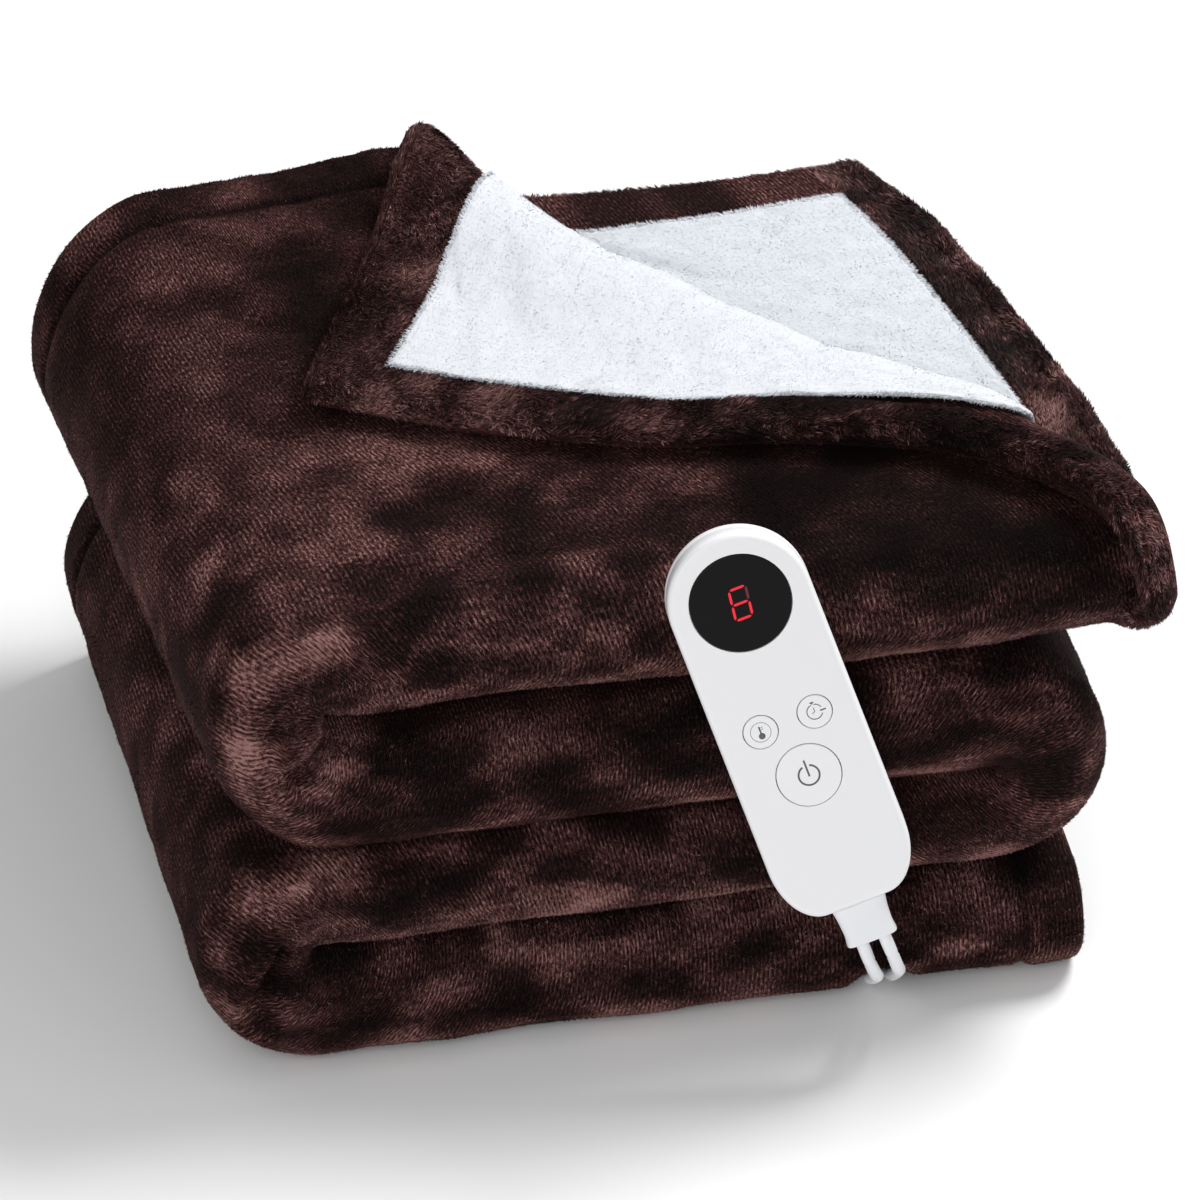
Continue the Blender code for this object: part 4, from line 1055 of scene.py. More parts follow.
nap.links.new(maths(nap, "MULTIPLY_ADD", ribs, RIB_TONE, tone), nap_out["Tone"])
nap.links.new(maths(nap, "MULTIPLY_ADD", ribs, RIB_HEIGHT, streaks), nap_out["Height"])

brown, brown_in, brown_out = new_group("brown", {"Tone": "Float"}, {"Color": "Color"})
brown.links.new(ramp(brown, brown_in["Tone"], BROWNS), brown_out["Color"])


def napped(tree):
    """The nap's outputs, at the piece's own cloth UV and with its own tone."""
    cloth_uv = node(tree, "ShaderNodeUVMap", uv_map="cloth").outputs["UV"]
    own_tone = node(tree, "ShaderNodeAttribute", attribute_name="tone").outputs["Fac"]
    return node(tree, "ShaderNodeGroup", {"Cloth": cloth_uv, "Tone": own_tone}, node_tree=nap).outputs


def colour_brown(tree, shader, tone):
    """Turns a tone into the shader's brown."""
    brown_here = node(tree, "ShaderNodeGroup", {"Tone": tone}, node_tree=brown)
    tree.links.new(brown_here.outputs["Color"], shader.inputs["Base Color"])


flannel, tree, shader = new_material("flannel_brown", {
    "Roughness": 0.9, "Specular IOR Level": 0.05, **BROWN_SHEEN, "Sheen Tint": srgb(160, 106, 102),
})
nap_here = napped(tree)
colour_brown(tree, shader, nap_here["Tone"])
add_bump(tree, shader, nap_here["Height"], *NAP_BUMP)
throw.data.materials.append(flannel)
print("flannel:", len(nap.nodes), "nodes in the nap group")

# %% White fleece
FLEECE_CURL, FLEECE_LUMP = 0.0022, 0.013
LUMP_HEIGHT = 2.0  # the lumps' share of the height, next to the curls'
FLEECE_BUMP = (0.22, 0.0009)  # strength, distance
FLEECE_STOPS = (0.25, 0.5, 0.75)


def fleece_material(name, colors):
    """Curly white pile: its colour and its height follow the same curls and
    broader lumps."""
    material, tree, shader = new_material(name, {
        "Roughness": 0.9, "Specular IOR Level": 0.1, "Sheen Weight": 0.25, "Sheen Roughness": 0.5,
    })
    cloth_uv = node(tree, "ShaderNodeUVMap", uv_map="cloth").outputs["UV"]
    grains = [
        {"Vector": cloth_uv, "Scale": 1 / size, "Detail": 3.0, "Roughness": 0.6}
        for size in (FLEECE_CURL, FLEECE_LUMP)
    ]
    curls, lumps = (
        node(tree, "ShaderNodeTexNoise", grain, noise_dimensions="2D").outputs["Fac"] for grain in grains
    )
    shade = maths(tree, "MULTIPLY_ADD", lumps, 0.5, maths(tree, "MULTIPLY", curls, 0.5))
    stops = [(place, srgb(*color)) for place, color in zip(FLEECE_STOPS, colors)]
    tree.links.new(ramp(tree, shade, stops), shader.inputs["Base Color"])
    add_bump(tree, shader, maths(tree, "MULTIPLY_ADD", lumps, LUMP_HEIGHT, curls), *FLEECE_BUMP)
    return material


# Two copies of one fleece: a lighter one on the lit turned corner, and a darker, bluer one as painted shade
# on the ply under it.
fleece_painted_light = fleece_material("fleece_painted_light", ((199, 202, 207), (207, 210, 215), (213, 215, 219)))
fleece_painted_shade = fleece_material("fleece_painted_shade", ((186, 190, 195), (195, 199, 204), (203, 207, 211)))
print("fleece ready")

# %% [markdown]
# ## The fleece where it shows
#
# The lining shows in two places: on the corner that is turned back, and on the
# ply under it. Each is a thin closed sheet that follows the cloth below it. Its
# rim thins out, so that it seems to grow from the brown.

# %% Two sheets of fleece
FLEECE = 0.0022
FLEECE_LIFT = 0.0013
HEM_LONG = (0.038, 0.054)  # width of the brown band beside it: on the roll, and at the hem
HEM_END = 0.026
INNER_HEM_LONG = (0.038, 0.030)
INNER_HEM = 0.029
FLAP_FLEECE_LAST_Y = 0.104
INNER_FLEECE_FIRST_Y = 0.128
FLEECE_START = math.radians(62)
FLEECE_RIM = 0.0018
RIM_STEPS = (0, 0.0015, 0.0040, 0.0080)  # shares of a sheet's length, close to its edge
FLEECE_UNEVEN = ((0.011, 0.0004, 21), (0.028, 0.0004, 22))  # size, height, seed
FLEECE_LEAST = 0.002  # no line of a sheet is shorter
FLAP_STEPS, INNER_STEPS = (74, 90), (70, 90)  # how finely each sheet is cut: onward and across
FLAP_STEPS_CLOSER = 1.4  # above 1, the first onward steps, on the roll, lie closer
FLEECE_CREASE = (((0.209, 0.302), (0.262, 0.262)), 0.0035, -0.0016)  # line (x, y), half width, height


def fine_steps(count):
    """0 to 1 in even steps, with a few more close to each end."""
    rim = np.array(RIM_STEPS)
    return np.concatenate([rim, np.linspace(0, 1, count + 1)[1:-1], 1 - rim[::-1]])


def fleece_sheet(name, points, material):
    """A closed sheet round its middle surface, lumpy on its outside; with its
    outside as a grid: points, normals, u and v."""
    steps_u = np.linalg.norm(np.diff(points, axis=0), axis=-1).mean(axis=1)
    steps_v = np.linalg.norm(np.diff(points, axis=1), axis=-1).mean(axis=0)
    u, v = (np.concatenate([[0], np.cumsum(steps)]) for steps in (steps_u, steps_v))
    rim_u, rim_v = (np.clip(np.minimum(way, way[-1] - way) / FLEECE_RIM, 0, 1) for way in (u, v))
    share = np.sqrt(1 - (1 - rim_u) ** 2)[:, None] * np.sqrt(1 - (1 - rim_v) ** 2)[None, :]
    normals = grid_normals(points)
    normals *= np.sign(normals[..., 2].mean())
    u, v = np.broadcast_arrays(u[:, None], v[None, :])
    lumps = sum(most * wavy(u / size, v / size, seed) for size, most, seed in FLEECE_UNEVEN)
    line, width, height = FLEECE_CREASE
    lumps = lumps + height * near_line(points[..., :2], line, width)
    upper = points + normals * (share * (FLEECE / 2) + share * lumps)[..., None]
    lower = points - normals * (share * (FLEECE / 2))[..., None]
    both = np.concatenate([lower, upper[:, ::-1]], axis=1)
    uv = np.stack([np.concatenate([g, g[:, ::-1]], axis=1) for g in (u, v)], axis=-1)
    made = make_mesh(name, (both - MIDDLE).reshape(-1, 3), skin_faces(*both.shape[:2]), uv.reshape(-1, 2))
    close_up(made, near=1e-6, hard=math.pi)
    return dress(made, material), upper, normals, u, v


def flap_fleece_middle():
    """On the peeled corner: from the start of its roll to short of its hems."""
    onward = fine_steps(FLAP_STEPS[0])[:, None] ** FLAP_STEPS_CLOSER
    first = FLAP_Y[0] - HEM_LONG[0] - (HEM_LONG[1] - HEM_LONG[0]) * onward
    y = first + (FLAP_FLEECE_LAST_Y - first) * fine_steps(FLAP_STEPS[1])
    radius = roll_sizes(y)[2]
    start = FLEECE_START * radius
    stop = math.pi * radius + flap_length(y) - HEM_END
    points = swell(arch(peeled_line(y, start + np.maximum(stop - start, FLEECE_LEAST) * onward)))
    normals = grid_normals(points)
    return points + normals * (PLY / 2 + FLEECE_LIFT + FLEECE / 2)


def inner_fleece_middle():
    """On the ply under it: from beside the roll to short of that ply's hems."""
    onward = fine_steps(INNER_STEPS[0])[:, None]
    first = BACK_Y[-1] - INNER_BACK - INNER_HEM_LONG[0] - (INNER_HEM_LONG[1] - INNER_HEM_LONG[0]) * onward
    y = first + (INNER_FLEECE_FIRST_Y - first) * fine_steps(INNER_STEPS[1])
    ridge, slope, radius = roll_sizes(y)
    start = ridge + (radius + PLY / 2 + FLEECE) * np.sqrt(1 + slope**2)
    stop = np.maximum(end_x(y) - INNER_HEM, start + FLEECE_LEAST)
    x = start + (stop - start) * onward
    fraction = (y - FRONT_MIDDLE) / (BACK_Y[-1] - FRONT_MIDDLE)
    at_y = y + (front_y(3, x) + PACK / 2 - FRONT_MIDDLE) * (1 - fraction)
    top = layer_height(3) + FOLD + PLY / 2 + FLEECE_LIFT + FLEECE / 2
    return swell(arch(np.stack([x, at_y, np.full_like(x, top)], axis=-1)))


flap_fleece, *flap_grid = fleece_sheet("fleece_on_flap", flap_fleece_middle(), fleece_painted_light)
inner_fleece, *inner_grid = fleece_sheet("fleece_under_flap", inner_fleece_middle(), fleece_painted_shade)
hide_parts("fleece_flap")
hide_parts("fleece_inner")
print("fleece:", len(flap_fleece.data.polygons), "and", len(inner_fleece.data.polygons), "quads")

# %% [markdown]
# ## Pile
#
# What makes flannel look soft is that light catches single locks of its pile.
# Hair curves would show that too, but they are lost in an exported model. So each
# lock here is one narrow triangle that leans over. Neighbours lean alike, and the
# lean turns slowly from place to place, as in cloth that hands have stroked.

# %% Locks of pile
LOCK_ROOT = 0.0004  # how deep a lock is rooted
RIB_SHARE = 0.75  # how much thinner the pile is between the ribs
TIP_TONE = 0.20  # a lock is lighter towards its tip
LOCK_UNEVEN = (1.5, 0.045)  # shape and scale of the draw that lightens each lock on its own
SPARE = 1.02  # a few more places are drawn than are needed
TURN_SPREAD, LEAN_SPREAD, ROLL_SPREAD = 0.32, 0.12, 0.5  # how unlike its neighbours each lock is
LEAN_RANGE, LONG_RANGE, WIDE_RANGE = (0.2, 1.45), (0.65, 1.25), (0.7, 1.3)


def scatter(grid, cells, count, seed, sheen=None):
    """Random places on a grid surface, as many on each cell as its area asks,
    fewer between the knit's ribs: points, normals, both unit directions on the
    cloth, its u and v, and the painted light and shade that the grid given last
    holds there, or 0."""
    points, normals, u, v = grid
    draw = np.random.default_rng(seed)
    tries = round(count / (1 - RIB_SHARE / 2) * SPARE)
    i, j = np.nonzero(cells)
    corner = points[i, j]
    to_u, to_v = points[i + 1, j] - corner, points[i, j + 1] - corner
    area = np.linalg.norm(np.cross(to_u, to_v), axis=1)
    pick = draw.choice(len(i), tries, p=area / area.sum())
    a, b, chance = draw.random((3, tries))
    at = u[i[pick], j[pick]] * (1 - a) + u[i[pick] + 1, j[pick]] * a
    thinned = RIB_SHARE * (0.5 + 0.5 * np.cos(2 * math.pi * at / RIB))
    kept = np.nonzero(chance < 1 - thinned)[0][:count]
    pick, a, b = pick[kept], a[kept][:, None], b[kept][:, None]
    i, j = i[pick], j[pick]

    def mix(values):
        """Values at the places, mixed from the four corners of each one's cell."""
        near = values[i, j] * (1 - a) + values[i + 1, j] * a
        far = values[i, j + 1] * (1 - a) + values[i + 1, j + 1] * a
        return near * (1 - b) + far * b

    painted_light_here = 0 if sheen is None else mix(sheen[..., None])
    across = unit(to_u[pick]), unit(to_v[pick])
    return (mix(points), unit(mix(normals)), *across, mix(u[..., None]), mix(v[..., None]), painted_light_here)


def locks(name, places, long, wide, lean, turn, tone, material, slot_name, seed, roll_most=ROLL_SPREAD):
    """One triangle a lock: a base across the lean, and a tip at the lock's
    length along it."""
    points, normals, to_u, to_v, u, v, _ = places
    draw = np.random.default_rng(seed)
    count = len(points)
    turn = turn + draw.normal(0, TURN_SPREAD, (count, 1))
    lean = np.clip(lean + draw.normal(0, LEAN_SPREAD, (count, 1)), *LEAN_RANGE)
    over = to_v * np.cos(turn) + to_u * np.sin(turn)
    way = normals * np.cos(lean) + over * np.sin(lean)
    side = unit(np.cross(way, normals))
    roll = draw.normal(0, roll_most, (count, 1))
    side = side * np.cos(roll) + np.cross(way, side) * np.sin(roll)
    size = draw.uniform(*LONG_RANGE, (count, 1))
    root = points - normals * LOCK_ROOT
    half = side * (wide / 2) * draw.uniform(*WIDE_RANGE, (count, 1))
    corners = np.stack([root - half, root + half, root + way * long * size], axis=1)
    uv = np.repeat(np.concatenate([u, v], axis=1), 3, axis=0)
    faces = np.arange(3 * count).reshape(-1, 3)
    made = make_mesh(name, (corners - MIDDLE).reshape(-1, 3), faces, uv, smooth=False)
    for label, values in (
        ("tone", np.repeat(tone + draw.gamma(*LOCK_UNEVEN, (count, 1)), 3, axis=1)),
        ("tip", np.broadcast_to((0.0, 0.0, 1.0), (count, 3))),
    ):
        attribute = made.data.attributes.new(label, "FLOAT", "POINT")
        attribute.data.foreach_set("value", np.ascontiguousarray(values, np.float32).ravel())
    return dress(made, material)

print("a lock leans", round(math.degrees(LOCK_LEAN)), "degrees on average")

# %% Brown and white pile
pile, tree, shader = new_material("pile_brown", {
    "Roughness": 0.6, "Specular IOR Level": 0.12, **BROWN_SHEEN, "Sheen Tint": srgb(180, 128, 124),
})
own_tip = node(tree, "ShaderNodeAttribute", attribute_name="tip").outputs["Fac"]
root_tone = maths(tree, "SUBTRACT", napped(tree)["Tone"], TIP_TONE / 2)
colour_brown(tree, shader, maths(tree, "MULTIPLY_ADD", own_tip, TIP_TONE, root_tone))
white_pile = new_material("pile_white", {
    "Base Color": srgb(205, 208, 213), "Roughness": 0.7, "Specular IOR Level": 0.15,
})[0]
print("pile materials ready")

# %% Where the pile grows
COUNTS = {"top": 170000, "fronts": 180000, "turns": 100000, "border": 80000}
LOCK_LONG, LOCK_WIDE = 0.0017, 0.00060
# The bands beside the fleece are fluffier: longer locks, that lie in tufts.
FLUFF_LONG, FLUFF_WIDE, FLUFF_TONE = 0.0030, 0.00080, 0.05
FLUFF_TURNS = (0.0040, 1.1, 92)  # size, how much, seed
FLUFF_TONES = (0.0026, 0.10, 93)
# The bands reach so far across the sheet, from the back hem, and from the end hem.
FLAP_BAND, SECOND_BAND = (0.36, 0.048, 0.029), (0.33, 0.034, 0.031)
PLACE_SEED, LOCK_SEED = 40, 70
WHITE_PLACE_SEED, WHITE_LOCK_SEED = 80, 95
HAIR_PLACE_SEED, HAIR_LOCK_SEED = 110, 120

stretch_of = stations[:-1, 0][:, None]
line_height, line_angle = lines[:-1, 2][None, :], lines[:-1, 3][None, :]
on_top = np.isclose(line_height, OUTER_FOLD) & (line_angle == 0)
line_number = np.arange(len(lines) - 1)[None, :]
on_front = (line_number < last_front) & ~on_top
on_lowest = (line_number >= last_front) & np.isclose(line_height, -OUTER_FOLD)
at_hem = (line_number < len(HEM_EDGE)) | (line_number > len(lines) - len(HEM_EDGE) - 2)
REGIONS = {
    "top": (stretch_of >= 6) & (on_top | at_hem),
    "fronts": np.broadcast_to(on_front, (len(stretch_of), on_front.size)),
    "turns": (((stretch_of == 1) | (stretch_of == 5)) & (on_top | at_hem)) | ((stretch_of == 3) & on_lowest),
}
to_back, to_inner = v_grid[:-1, :-1], arc_across[-1] - v_grid[:-1, :-1]
inner_steps = np.linalg.norm(np.diff(inner, axis=0), axis=-1)
to_end = np.cumsum(inner_steps[::-1], axis=0)[::-1, :-1]  # along each line itself
far, beside, short = FLAP_BAND
on_flap = (stretch_of >= 7) & (to_back < far) & ((to_back < beside) | (to_end < short))
far, beside, short = SECOND_BAND
on_second = (stretch_of >= 6) & (to_inner < far) & ((to_inner < beside) | (to_end < short))
REGIONS["border"] = on_flap | on_second

print({name: int(np.count_nonzero(cells)) for name, cells in REGIONS.items()}, "cells")


# %% Brown pile
def tufts(points, setting):
    """Value noise at the points, as a column."""
    size, most, seed = setting
    return most * value_noise(points, size, seed)[:, None]


cloth_grid, lining_grid = (outer, outer_normal, nap_outer, v_grid), (inner, inner_normal, nap_inner, v_inner)
for seed, (name, count) in enumerate(COUNTS.items()):
    fluffy = name == "border"
    # except on the border bands, the locks take the outer face's painted rim sheen and painted seam shade
    grid, sheen = (lining_grid, None) if fluffy else (cloth_grid, outer_painted_light)
    places = scatter(grid, REGIONS[name], count, PLACE_SEED + seed, sheen)
    spots, *_, u, v, painted_light_here = places
    turn, lean, tone = stroked(u, v, spots)
    tone, long, wide = tone + painted_light_here, LOCK_LONG, LOCK_WIDE
    if fluffy:
        turn = turn + tufts(spots, FLUFF_TURNS)
        tone = tone + FLUFF_TONE + tufts(spots, FLUFF_TONES)
        long, wide = FLUFF_LONG, FLUFF_WIDE
    made = locks("pile_" + name, places, long, wide, lean, turn, tone, pile, "flannel", LOCK_SEED + seed)
    print(made.name, count, "locks")

# %% White pile, and white hairs over the border
WHITE_LONG, WHITE_WIDE, WHITE_ROLL = 0.0013, 0.0008, 0.15
WHITE_TURNS = (0.020, 2.0, 90)  # size, how much, seed
WHITE_COUNTS = (("flap", flap_grid, 45000), ("under", inner_grid, 35000))
WHITE_TONE = 0.5  # one tone for all white locks, whose material doesn't read it
HAIR_LONG, HAIR_LEAN, HAIR_TURNS, HAIR_ROWS, HAIR_COUNT = 0.0028, 1.10, (0.0012, 1.3, 91), 4, 3000
HAIR_EDGES = (  # name, the lean's turn that points out over the rim, and the cells along it
    ("end", math.pi / 2, np.s_[-HAIR_ROWS:]),
    ("back", math.pi, np.s_[:, :HAIR_ROWS]),
)
for seed, (name, grid, count) in enumerate(WHITE_COUNTS):
    cells = np.ones((grid[0].shape[0] - 1, grid[0].shape[1] - 1), bool)
    places = scatter(grid, cells, count, WHITE_PLACE_SEED + seed)
    size, most, wave_seed = WHITE_TURNS
    turn = most * wavy(places[4] / size, places[5] / size, wave_seed)
    look = (LOCK_LEAN, turn, WHITE_TONE, white_pile, "fleece", WHITE_LOCK_SEED + seed, WHITE_ROLL)
    locks("pile_white_" + name, places, WHITE_LONG, WHITE_WIDE, *look)
for seed, (_, grid, _) in enumerate(WHITE_COUNTS):
    for edge, outward, beside in HAIR_EDGES:
        cells = np.zeros((grid[0].shape[0] - 1, grid[0].shape[1] - 1), bool)
        cells[beside] = True
        places = scatter(grid, cells, HAIR_COUNT, HAIR_PLACE_SEED + seed)
        turn = outward + tufts(places[0], HAIR_TURNS)
        look = (HAIR_LEAN, turn, WHITE_TONE, white_pile, "fleece", HAIR_LOCK_SEED + seed)
        locks(f"edge_white_{seed}_{edge}", places, HAIR_LONG, LOCK_WIDE, *look)

# %% [markdown]
# ## The hand control
#
# Its own frame has its origin at the middle of the display, x to the right, y up
# along the body and z out of its face. Two kinds of surface are enough for it: a
# profile turned round an axis, and a profile carried along the body's outline.

# %% Sizes and place of the hand control
HANDSET_AT = np.array((0.2282, 0.0081, 0.2129))
HANDSET_YAW, HANDSET_LEAN, HANDSET_ROLL = math.radians(6.0), math.radians(17.0), math.radians(18.5)
HANDSET_WIDE, HANDSET_LONG, HANDSET_STRAIGHT = 0.0608, 0.1435, 0.1170
HANDSET_END, HANDSET_THICK, FRONT_SHELL = 0.0133, 0.0180, 0.0090
FRONT_ROUNDING, BACK_ROUNDING = 0.0024, 0.0060
DISPLAY_RADIUS, WINDOW_THICK, WINDOW_SUNK = 0.0214, 0.0014, 0.0001
KEYS = {  # radius, and place across and along the body
    "heat_button": (0.0072, -0.0118, -0.0564),
    "timer_button": (0.0072, 0.0122, -0.0564),
    "power_button": (0.0136, 0.0004, -0.0817),
}
KEY_GAP, KEY_PROUD, KEY_RIM, KEY_DEEP, KEY_POCKET = 0.0004, 0.0002, 0.0003, 0.0024, 0.0036
BOOT_THICK, BOOT_LONG = 0.0130, 0.0182
BOOT_HALF = ((0.0, 0.0121), (0.2, 0.0114), (0.5, 0.0108), (0.85, 0.0107), (1.0, 0.0111))
EDGE_SOFT = 0.0002
HALF_ROUND_STEPS, SIDE_STEPS, END_STEPS = 28, 11, 9  # how finely the outline is cut

handset_frame = (
    Matrix.Translation(Vector(HANDSET_AT - MIDDLE))
    @ Matrix.Rotation(-HANDSET_YAW, 4, "Z")
    @ Matrix.Rotation(math.pi / 2 - HANDSET_LEAN, 4, "X")
    @ Matrix.Rotation(HANDSET_ROLL, 4, "Z")
)


def on_handset(points):
    """Points from the hand control's frame to the row frame."""
    matrix = np.array(handset_frame)
    return points @ matrix[:3, :3].T + matrix[:3, 3]

print("the hand control is", round((HANDSET_LONG + HANDSET_WIDE / 2) * 1000), "mm long")


# %% Outline, profiles and plates
def outline(steps=HALF_ROUND_STEPS):
    """The body from the front: half round at the display, straight sides, and
    an end that draws in by quarter ellipses; with the outward directions."""
    top = np.linspace(0, math.pi, 2 * steps + 1)
    top = np.stack([np.cos(top), np.sin(top)], axis=1) * HANDSET_WIDE / 2
    deep, draw_in = HANDSET_LONG - HANDSET_STRAIGHT, HANDSET_WIDE / 2 - HANDSET_END
    a = np.linspace(0, math.pi / 2, steps)
    left = np.stack([-HANDSET_END - draw_in * np.cos(a), -HANDSET_STRAIGHT - deep * np.sin(a)], axis=1)
    down = np.linspace(0, -HANDSET_STRAIGHT, SIDE_STEPS)
    over = np.linspace(-HANDSET_END, HANDSET_END, END_STEPS)
    side = np.stack([np.full_like(down, -HANDSET_WIDE / 2), down], axis=1)[1:-1]
    bottom = np.stack([over, np.full_like(over, -HANDSET_LONG)], axis=1)[1:-1]
    mirror = np.array((-1, 1))
    line = np.concatenate([top, side, left, bottom, left[::-1] * mirror, side[::-1] * mirror])
    way = unit(np.roll(line, -1, axis=0) - np.roll(line, 1, axis=0))
    return line, np.stack([way[:, 1], -way[:, 0]], axis=1)


def raised(flat, z):
    """Flat points (x, y) with their height z added, spread over rows or columns."""
    return np.concatenate([flat, np.broadcast_to(z, (*flat.shape[:2], 1))], axis=2)


def carried(profile):
    """The outline drawn in by each row's inset, at each row's height."""
    line, out = outline()
    inset, z = np.array(profile).T
    return raised(line[None] - out[None] * inset[:, None, None], z[:, None, None])


def turned(profile, at=(0.0, 0.0), sides=96):
    """A profile of (radius, height) turned round an axis along z."""
    radius, z = np.array(profile).T
    a = np.linspace(0, 2 * math.pi, sides, endpoint=False)
    ring = np.stack([np.cos(a), np.sin(a)], axis=1)
    return raised(ring[None] * radius[:, None, None] + np.array(at), z[:, None, None])


def rounded(inner, low, high, radius, steps=7):
    """A quarter round as profile rows, from the top face to the side wall."""
    a = np.linspace(0, math.pi / 2, steps)
    return [(inner + radius * (1 - math.sin(t)), high + (low - high) * (1 - math.cos(t))) for t in a]


def plate(loops):
    """The flat face between closed loops of points, as triangles."""
    mesh = bpy.data.meshes.new("plate")
    starts = np.cumsum([0] + [len(loop) for loop in loops])
    edges = [
        np.stack([np.arange(len(loop)), np.roll(np.arange(len(loop)), -1)], axis=1) + start
        for loop, start in zip(loops, starts)
    ]
    mesh.from_pydata(np.concatenate(loops).tolist(), np.concatenate(edges).tolist(), [])
    work = bmesh.new()
    work.from_mesh(mesh)
    bmesh.ops.triangle_fill(work, edges=work.edges[:], use_beauty=True)
    work.to_mesh(mesh)
    work.free()
    points = np.empty(len(mesh.vertices) * 3)
    mesh.vertices.foreach_get("co", points)
    corners = np.empty(len(mesh.loops), np.int32)
    mesh.loops.foreach_get("vertex_index", corners)
    bpy.data.meshes.remove(mesh)
    points, corners = points.reshape(-1, 3), corners.reshape(-1, 3)
    a, b, c = (points[corners[:, k]] for k in range(3))
    down = np.cross(b - a, c - a)[:, 2] < 0
    corners[down] = corners[down][:, ::-1]
    return points, corners


def handset_piece(name, surfaces, material, body, plates=()):
    """One object of closed-loop grids and flat plates, placed on the hand control."""
    points, faces, start = [], [], 0
    for grid in surfaces:
        quads = grid_faces(*grid.shape[:2], wrap_columns=True)
        faces.append(np.concatenate([quads[:, :3], quads[:, [0, 2, 3]]]) + start)
        points.append(grid.reshape(-1, 3))
        start += len(points[-1])
    for flat, corners in plates:
        faces.append(corners + start)
        points.append(flat)
        start += len(flat)
    made = make_mesh(name, on_handset(np.concatenate(points)), np.concatenate(faces))
    close_up(made)
    return dress(made, material, body)

print("the outline has", len(outline()[0]), "points")

# %% [markdown]
# ## Plastics and metal
#
# Moulded plastic is never quite glossy. A very fine noise on Object coordinates
# stirs its roughness a little, and bends its normals by a hair. The display is
# a darker, smoother one. The digit gives off its own light. Both leads and the
# small parts at their far ends get theirs here too.

# %% Plastics
GRAINS_PER_METRE, GRAIN_DEEP, GLOSS_SPREAD = 2600.0, 0.0001, 0.08


def plastic(name, color, roughness, grain=0.0, **constants):
    """A moulded plastic: a faint grain in its gloss and on its surface."""
    material, tree, shader = new_material(name, {"Base Color": color, **constants})
    place = node(tree, "ShaderNodeTexCoord").outputs["Object"]
    graining = {"Vector": place, "Scale": GRAINS_PER_METRE, "Detail": 2.0}
    noise = node(tree, "ShaderNodeTexNoise", graining).outputs["Fac"]
    rough = maths(tree, "MULTIPLY_ADD", noise, GLOSS_SPREAD, roughness - GLOSS_SPREAD / 2)
    tree.links.new(rough, shader.inputs["Roughness"])
    if grain:
        add_bump(tree, shader, noise, grain, GRAIN_DEEP)
    return material


handset_white = plastic("handset_white", srgb(231, 231, 233), 0.42, 0.10)
key_white = plastic("key_white", srgb(232, 232, 234), 0.45, 0.10)
boot_white = plastic("boot_white", srgb(226, 227, 230), 0.55, 0.15)
cord_white = plastic("cord_white", srgb(228, 229, 232), 0.50)
display_black = plastic("display_black", srgb(19, 19, 20), 0.30, **{"Specular IOR Level": 0.12})
icon_grey = plastic("icon_grey", srgb(84, 84, 88), 0.6)
tie_black = plastic("tie_black", srgb(24, 24, 25), 0.6)
digit_red = new_material("digit_red", {
    "Base Color": srgb(60, 2, 6), "Emission Color": srgb(205, 8, 34), "Emission Strength": 1.5,
})[0]
# the unlit segment: a faint painted glow of red
digit_painted_glow = new_material("digit_painted_glow", {
    "Base Color": srgb(60, 8, 14), "Emission Color": srgb(110, 8, 20), "Emission Strength": 0.5,
})[0]
plated = new_material("plated_brass", {
    "Base Color": srgb(222, 208, 160), "Metallic": 1.0, "Roughness": 0.28,
})[0]
mains.data.materials.append(cord_white)
heater.data.materials.append(cord_white)
for name, material in {
    "coil_tie": tie_black,
    "plug_relief": boot_white,
    "mains_plug": boot_white,
    "plug_blade_left": plated,
    "plug_blade_right": plated,
    "lead_connector": boot_white,
}.items():
    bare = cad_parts[name]
    bare.data.materials.clear()
    bare.data.materials.append(material)

# %% [markdown]
# ## Shells, window, keys and boot
#
# The front shell has four round pockets: one for the display, three for the
# keys. Cutting them with booleans would leave messy edges, so each pocket is a
# turned profile of its own, and one flat plate fills what lies between their
# rims and the body's outline. A key stands in its pocket with a real gap round
# it, which the picture shows as a thin dark ring.

# %% Shells, window and keys
LIP = 0.0006  # the flat ring round each rim, outside its soft edge
SHELL_WALL = 0.004  # how wide the shells' rims are where they meet


def hole(radius, deep, at):
    """The soft edge, wall and floor of a round pocket."""
    return turned(
        [(radius + LIP, 0), (radius + EDGE_SOFT, 0)]
        + [
            (radius + EDGE_SOFT * (1 - math.sin(t)), -EDGE_SOFT * (1 - math.cos(t)))
            for t in (0.5, 1.0, math.pi / 2)
        ]
        + [(radius, -deep), (radius, -deep), (POLE, -deep)],
        at,
    )


pockets = [((0.0, 0.0), DISPLAY_RADIUS + GAP, WINDOW_THICK + GAP)]
pockets += [((x, y), radius + KEY_GAP, KEY_POCKET) for radius, x, y in KEYS.values()]
rim = carried(
    [(FRONT_ROUNDING + LIP, 0)]
    + rounded(0, -FRONT_ROUNDING, 0, FRONT_ROUNDING)
    + [(0, -FRONT_SHELL + EDGE_SOFT), (EDGE_SOFT, -FRONT_SHELL), (EDGE_SOFT, -FRONT_SHELL)]
    + [(SHELL_WALL, -FRONT_SHELL)]
)
holes = [hole(radius, deep, at) for at, radius, deep in pockets]
face = plate([rim[0], *[grid[0] for grid in holes]])
front = handset_piece("handset_face", [rim[:, ::-1], *holes], handset_white, "root", [face])
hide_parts("handset_front")

